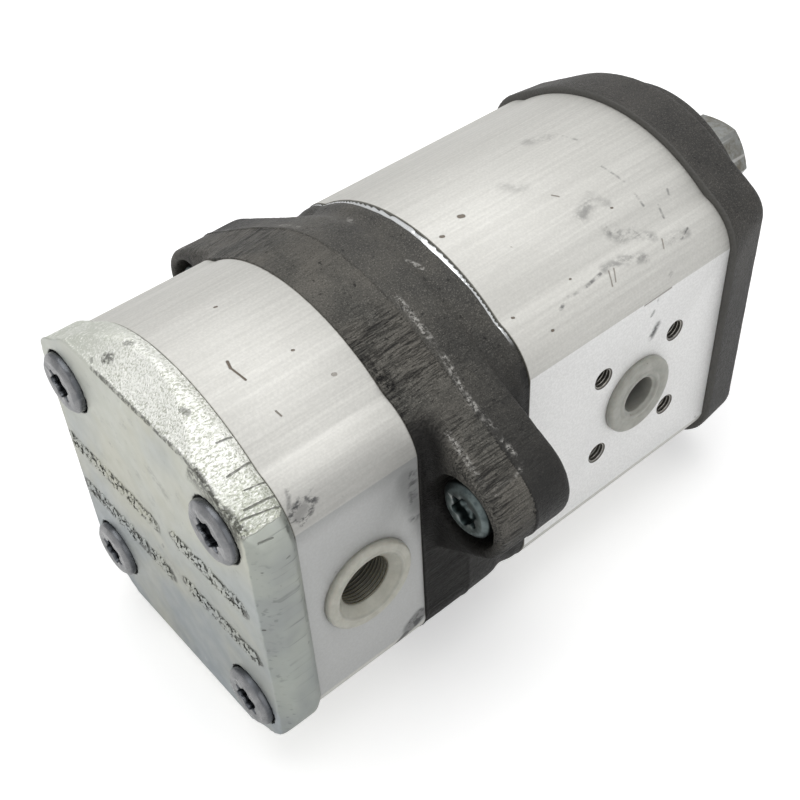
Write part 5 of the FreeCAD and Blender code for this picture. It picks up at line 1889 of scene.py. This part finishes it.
@dataclass
class Studio:
    """The floor, the soft lights and the camera."""

    lens_px: float = 1248.2
    picture_px: float = 800.0
    sensor_mm: float = 36.0
    azimuth: float = math.radians(-38.116)
    elevation: float = math.radians(44.191)
    roll: float = math.radians(-3.582)
    eye: Vector = field(default_factory=lambda: Vector((-0.25267, -0.1983, 0.22394)))
    pump_middle: Vector = field(default_factory=lambda: Vector((-0.08, 0.0, -0.02)))
    floor_size: float = 6.0
    floor_tone: Colour = srgb(240, 240, 240)
    floor_lift: float = 0.42
    floor_shine: float = 0.1
    sky_low: float = 0.24
    sky_high: float = 0.512
    sky_shine: float = 0.64
    sky_mirror: float = 0.8

    def _camera(self) -> None:
        """Stands the camera where the picture was taken from."""
        back = Vector((math.sin(self.azimuth) * math.cos(self.elevation),
                       -math.cos(self.azimuth) * math.cos(self.elevation), math.sin(self.elevation)))
        level = Vector((math.cos(self.azimuth), math.sin(self.azimuth), 0.0))
        upward = back.cross(level)
        right = level * math.cos(self.roll) + upward * math.sin(self.roll)
        up = upward * math.cos(self.roll) - level * math.sin(self.roll)
        camera = bpy.data.objects.new("camera", bpy.data.cameras.new("camera"))
        camera.data.lens = self.lens_px * self.sensor_mm / self.picture_px
        camera.data.sensor_width = self.sensor_mm
        camera.data.clip_start = 0.01
        turn = Matrix((right, up, back)).transposed().to_4x4()
        camera.matrix_world = Matrix.Translation(self.eye) @ turn
        bpy.context.scene.collection.objects.link(camera)
        bpy.context.scene.camera = camera

    def _floor(self) -> None:
        """Lays a pale floor under the pump, white to the eye but with the pump's shadow."""
        mesh = bpy.data.meshes.new("floor")
        half = self.floor_size / 2
        corners = [(-half, -half), (half, -half), (half, half), (-half, half)]
        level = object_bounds()[0][2]
        mesh.from_pydata([(x, y, level) for x, y in corners], [], [(0, 1, 2, 3)])
        material = bpy.data.materials.new("pale_floor")
        graph = empty_graph(material)
        seen = graph.add("ShaderNodeLightPath").outputs
        mirrored = graph.highest(seen["Is Glossy Ray"], seen["Is Transmission Ray"])
        shine = graph.highest(graph.times(seen["Is Camera Ray"], self.floor_lift),
                              graph.times(mirrored, self.floor_shine))
        matt = graph.add("ShaderNodeBsdfDiffuse", {"Color": self.floor_tone})
        glow = graph.add("ShaderNodeEmission", {"Strength": shine})
        total = graph.add("ShaderNodeAddShader", {0: matt.outputs[0], 1: glow.outputs[0]})
        graph.add("ShaderNodeOutputMaterial", {"Surface": total.outputs[0]})
        mesh.materials.append(material)
        link_mesh("floor", mesh)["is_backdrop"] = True

    def _sky(self) -> None:
        """Fills the room with even light, a little dimmer low down, and white to the eye."""
        world = bpy.data.worlds.new("room")
        bpy.context.scene.world = world
        graph = empty_graph(world)
        height = graph.part_of(graph.add("ShaderNodeTexCoord").outputs["Generated"], "Z")
        seen = graph.add("ShaderNodeLightPath").outputs
        even = graph.ramp(height, -0.2, 0.9, self.sky_low, self.sky_high)
        through = graph.highest(seen["Is Camera Ray"], seen["Is Transmission Ray"])
        gloss = graph.ramp(height, 0.0, 0.6, self.sky_shine, self.sky_mirror)
        mirrored = graph.times(seen["Is Glossy Ray"], gloss)
        strength = graph.highest(even, graph.highest(through, mirrored))
        light = graph.add("ShaderNodeBackground", {"Color": srgb(255, 255, 255), "Strength": strength})
        graph.add("ShaderNodeOutputWorld", {"Surface": light.outputs[0]})

    def _lamp(self, name: str, place: Point, size: float, power: float) -> None:
        """Hangs a square soft lamp that looks at the pump's middle.

        Args:
            name: The lamp's name.
            place: Where it hangs, in metres.
            size: The length of its sides.
            power: Its power in watts.
        """
        lamp = bpy.data.lights.new(name, "AREA")
        lamp.shape = "SQUARE"
        lamp.size = size
        lamp.energy = power
        holder = bpy.data.objects.new(name, lamp)
        holder.location = place
        aim = self.pump_middle - Vector(place)
        holder.rotation_euler = aim.to_track_quat("-Z", "Y").to_euler()
        bpy.context.scene.collection.objects.link(holder)

    def build(self) -> None:
        """Sets up the whole studio."""
        self._floor()
        self._sky()
        self._lamp("top_lamp", (0.1, 0.2, 1.4), 1.5, 12.0)
        self._lamp("left_lamp", (-1.3, 0.1, 0.7), 1.4, 2.0)
        self._lamp("front_lamp", (-0.1, -1.3, 0.6), 1.4, 4.0)
        self._camera()
        bpy.context.scene.view_settings.view_transform = "Standard"


@dataclass
class IronCastings:
    """The three black castings, with the worn edges that handling has left on the two middle ones."""

    shop: Workshop
    far_side_share: float = 0.5

    def _ridges(self) -> tuple[Mark, ...]:
        """Lists the rubbed ridges of the two middle castings.

        Returns:
            The marks of the seen side, and weaker ones on the other side.
        """
        corner = ((-111.6, -62.4, 12.0),)
        seen = (
            trail(((-111.2, -19.8, 35.8), (-111.1, -35.6, 28.0), (-113.0, -43.6, 23.6),
                   (-111.9, -56.0, 16.0)) + corner, 1.4, 0.9)
            + trail(((-121.8, -48.2, 18.9), (-122.4, -59.4, 12.8),
                     (-122.7, -63.5, 10.5)) + corner, 1.3, 1.0)
            + (Mark((-100.5, -10.9, 36.1), (-99.1, -14.1, 35.3), 1.1, 0.8),
               Mark((-102.8, -43.0, 22.5), (-101.5, -45.0, 21.2), 0.9, 0.6))
        )
        return seen + tuple(mark.mirrored(self.far_side_share) for mark in seen)

    def _front_cover(self) -> CastPart:
        """Plans the front cover, which is darker and has painted light on its shaded back step.

        Returns:
            The casting, not yet built.
        """
        finish = BlackCasting("front_cover_iron", dark=srgb(45, 44, 42),
                              light=srgb(62, 60, 57), sparkle=0.4,
                              lit_ledge_at=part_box("front_cover")[0].x)
        return CastPart("front_cover", self.shop, finish, rounding=6, grain=(800.0, 0.06 * MM))

    def _adaptor(self) -> CastPart:
        """Plans the adaptor, with its bare machined band and painted shade in the slot over the front body.

        Returns:
            The casting, not yet built.
        """
        # Painted shade in the slot over the front body.
        notch_shade = (Mark((-93.0, -44.3, 16.7), (-91.6, -45.2, 8.7), 2.2, 0.9, 0.6, False),)
        # Strong painted shade on its lower part, full below 4 mm.
        finish = BlackCasting("adaptor_iron", low_shade_tone=srgb(12, 12, 12), low_shade_share=0.85, low_shade_top=34.0 * MM,
                              low_shade_foot=4.0 * MM, furrow=0.5, furrow_from=24.0 * MM, ridges=self._ridges(),
                              scores_and_shade=notch_shade, bare_from=-92.9 * MM)
        return CastPart("adaptor", self.shop, finish, voxel=0.63 * MM, rounding=10,
                        grooves=(420.0, 0.1 * MM), overlap=0.6 * MM)

    def _rear_flange(self) -> CastPart:
        """Plans the rear flange, with its crumbling edge, its long score and painted shade in its pocket.

        Returns:
            The casting, not yet built.
        """
        crumbling = (Mark((-126.9, -30.7, 29.2), (-126.3, -33.9, 27.5), 2.4, 1.0),
                     Mark((-127.6, -26.5, 31.6), (-127.0, -29.5, 30.0), 1.4, 0.8))
        # A long score, then painted shade over the lug's rear face in its pocket.
        scores_and_shade = (scratch((-114.8, 50.5, 18.4), (-114.0, 28.7, 31.8), 0.4, 0.9),
                  Mark((-127.0, -46.0, 19.0), (-127.0, -47.5, -14.0), 9.0, 0.95, 0.8, False))
        # Strong painted shade on its lower part, full below -12 mm.
        finish = BlackCasting("flange_iron", dark=srgb(78, 77, 73), light=srgb(100, 97, 91),
                              low_shade_tone=srgb(13, 12, 10), low_shade_share=0.95, low_shade_top=8.0 * MM, furrow=1.0,
                              gloss=0.2, furrow_from=15.0 * MM, ridges=self._ridges(), pits=crumbling,
                              scores_and_shade=scores_and_shade)
        return CastPart("rear_flange", self.shop, finish, rounding=10, grooves=(420.0, 0.2 * MM))

    def build(self) -> None:
        """Builds all three."""
        for part in (self._front_cover(), self._adaptor(), self._rear_flange()):
            part.build()


def main() -> None:
    """Builds the pump's looks in order, then its studio."""
    logging.basicConfig(level=logging.INFO, format="%(message)s")
    shop = Workshop(Effects(), Trees())
    for part in (IronCastings, PumpBodies, RearCover, Screws, Plugs, Threads, ShaftEnd, InnerParts):
        LOG.info("now %s", part.__name__)
        part(shop).build()
    Studio().build()


if __name__ == "__main__":
    main()
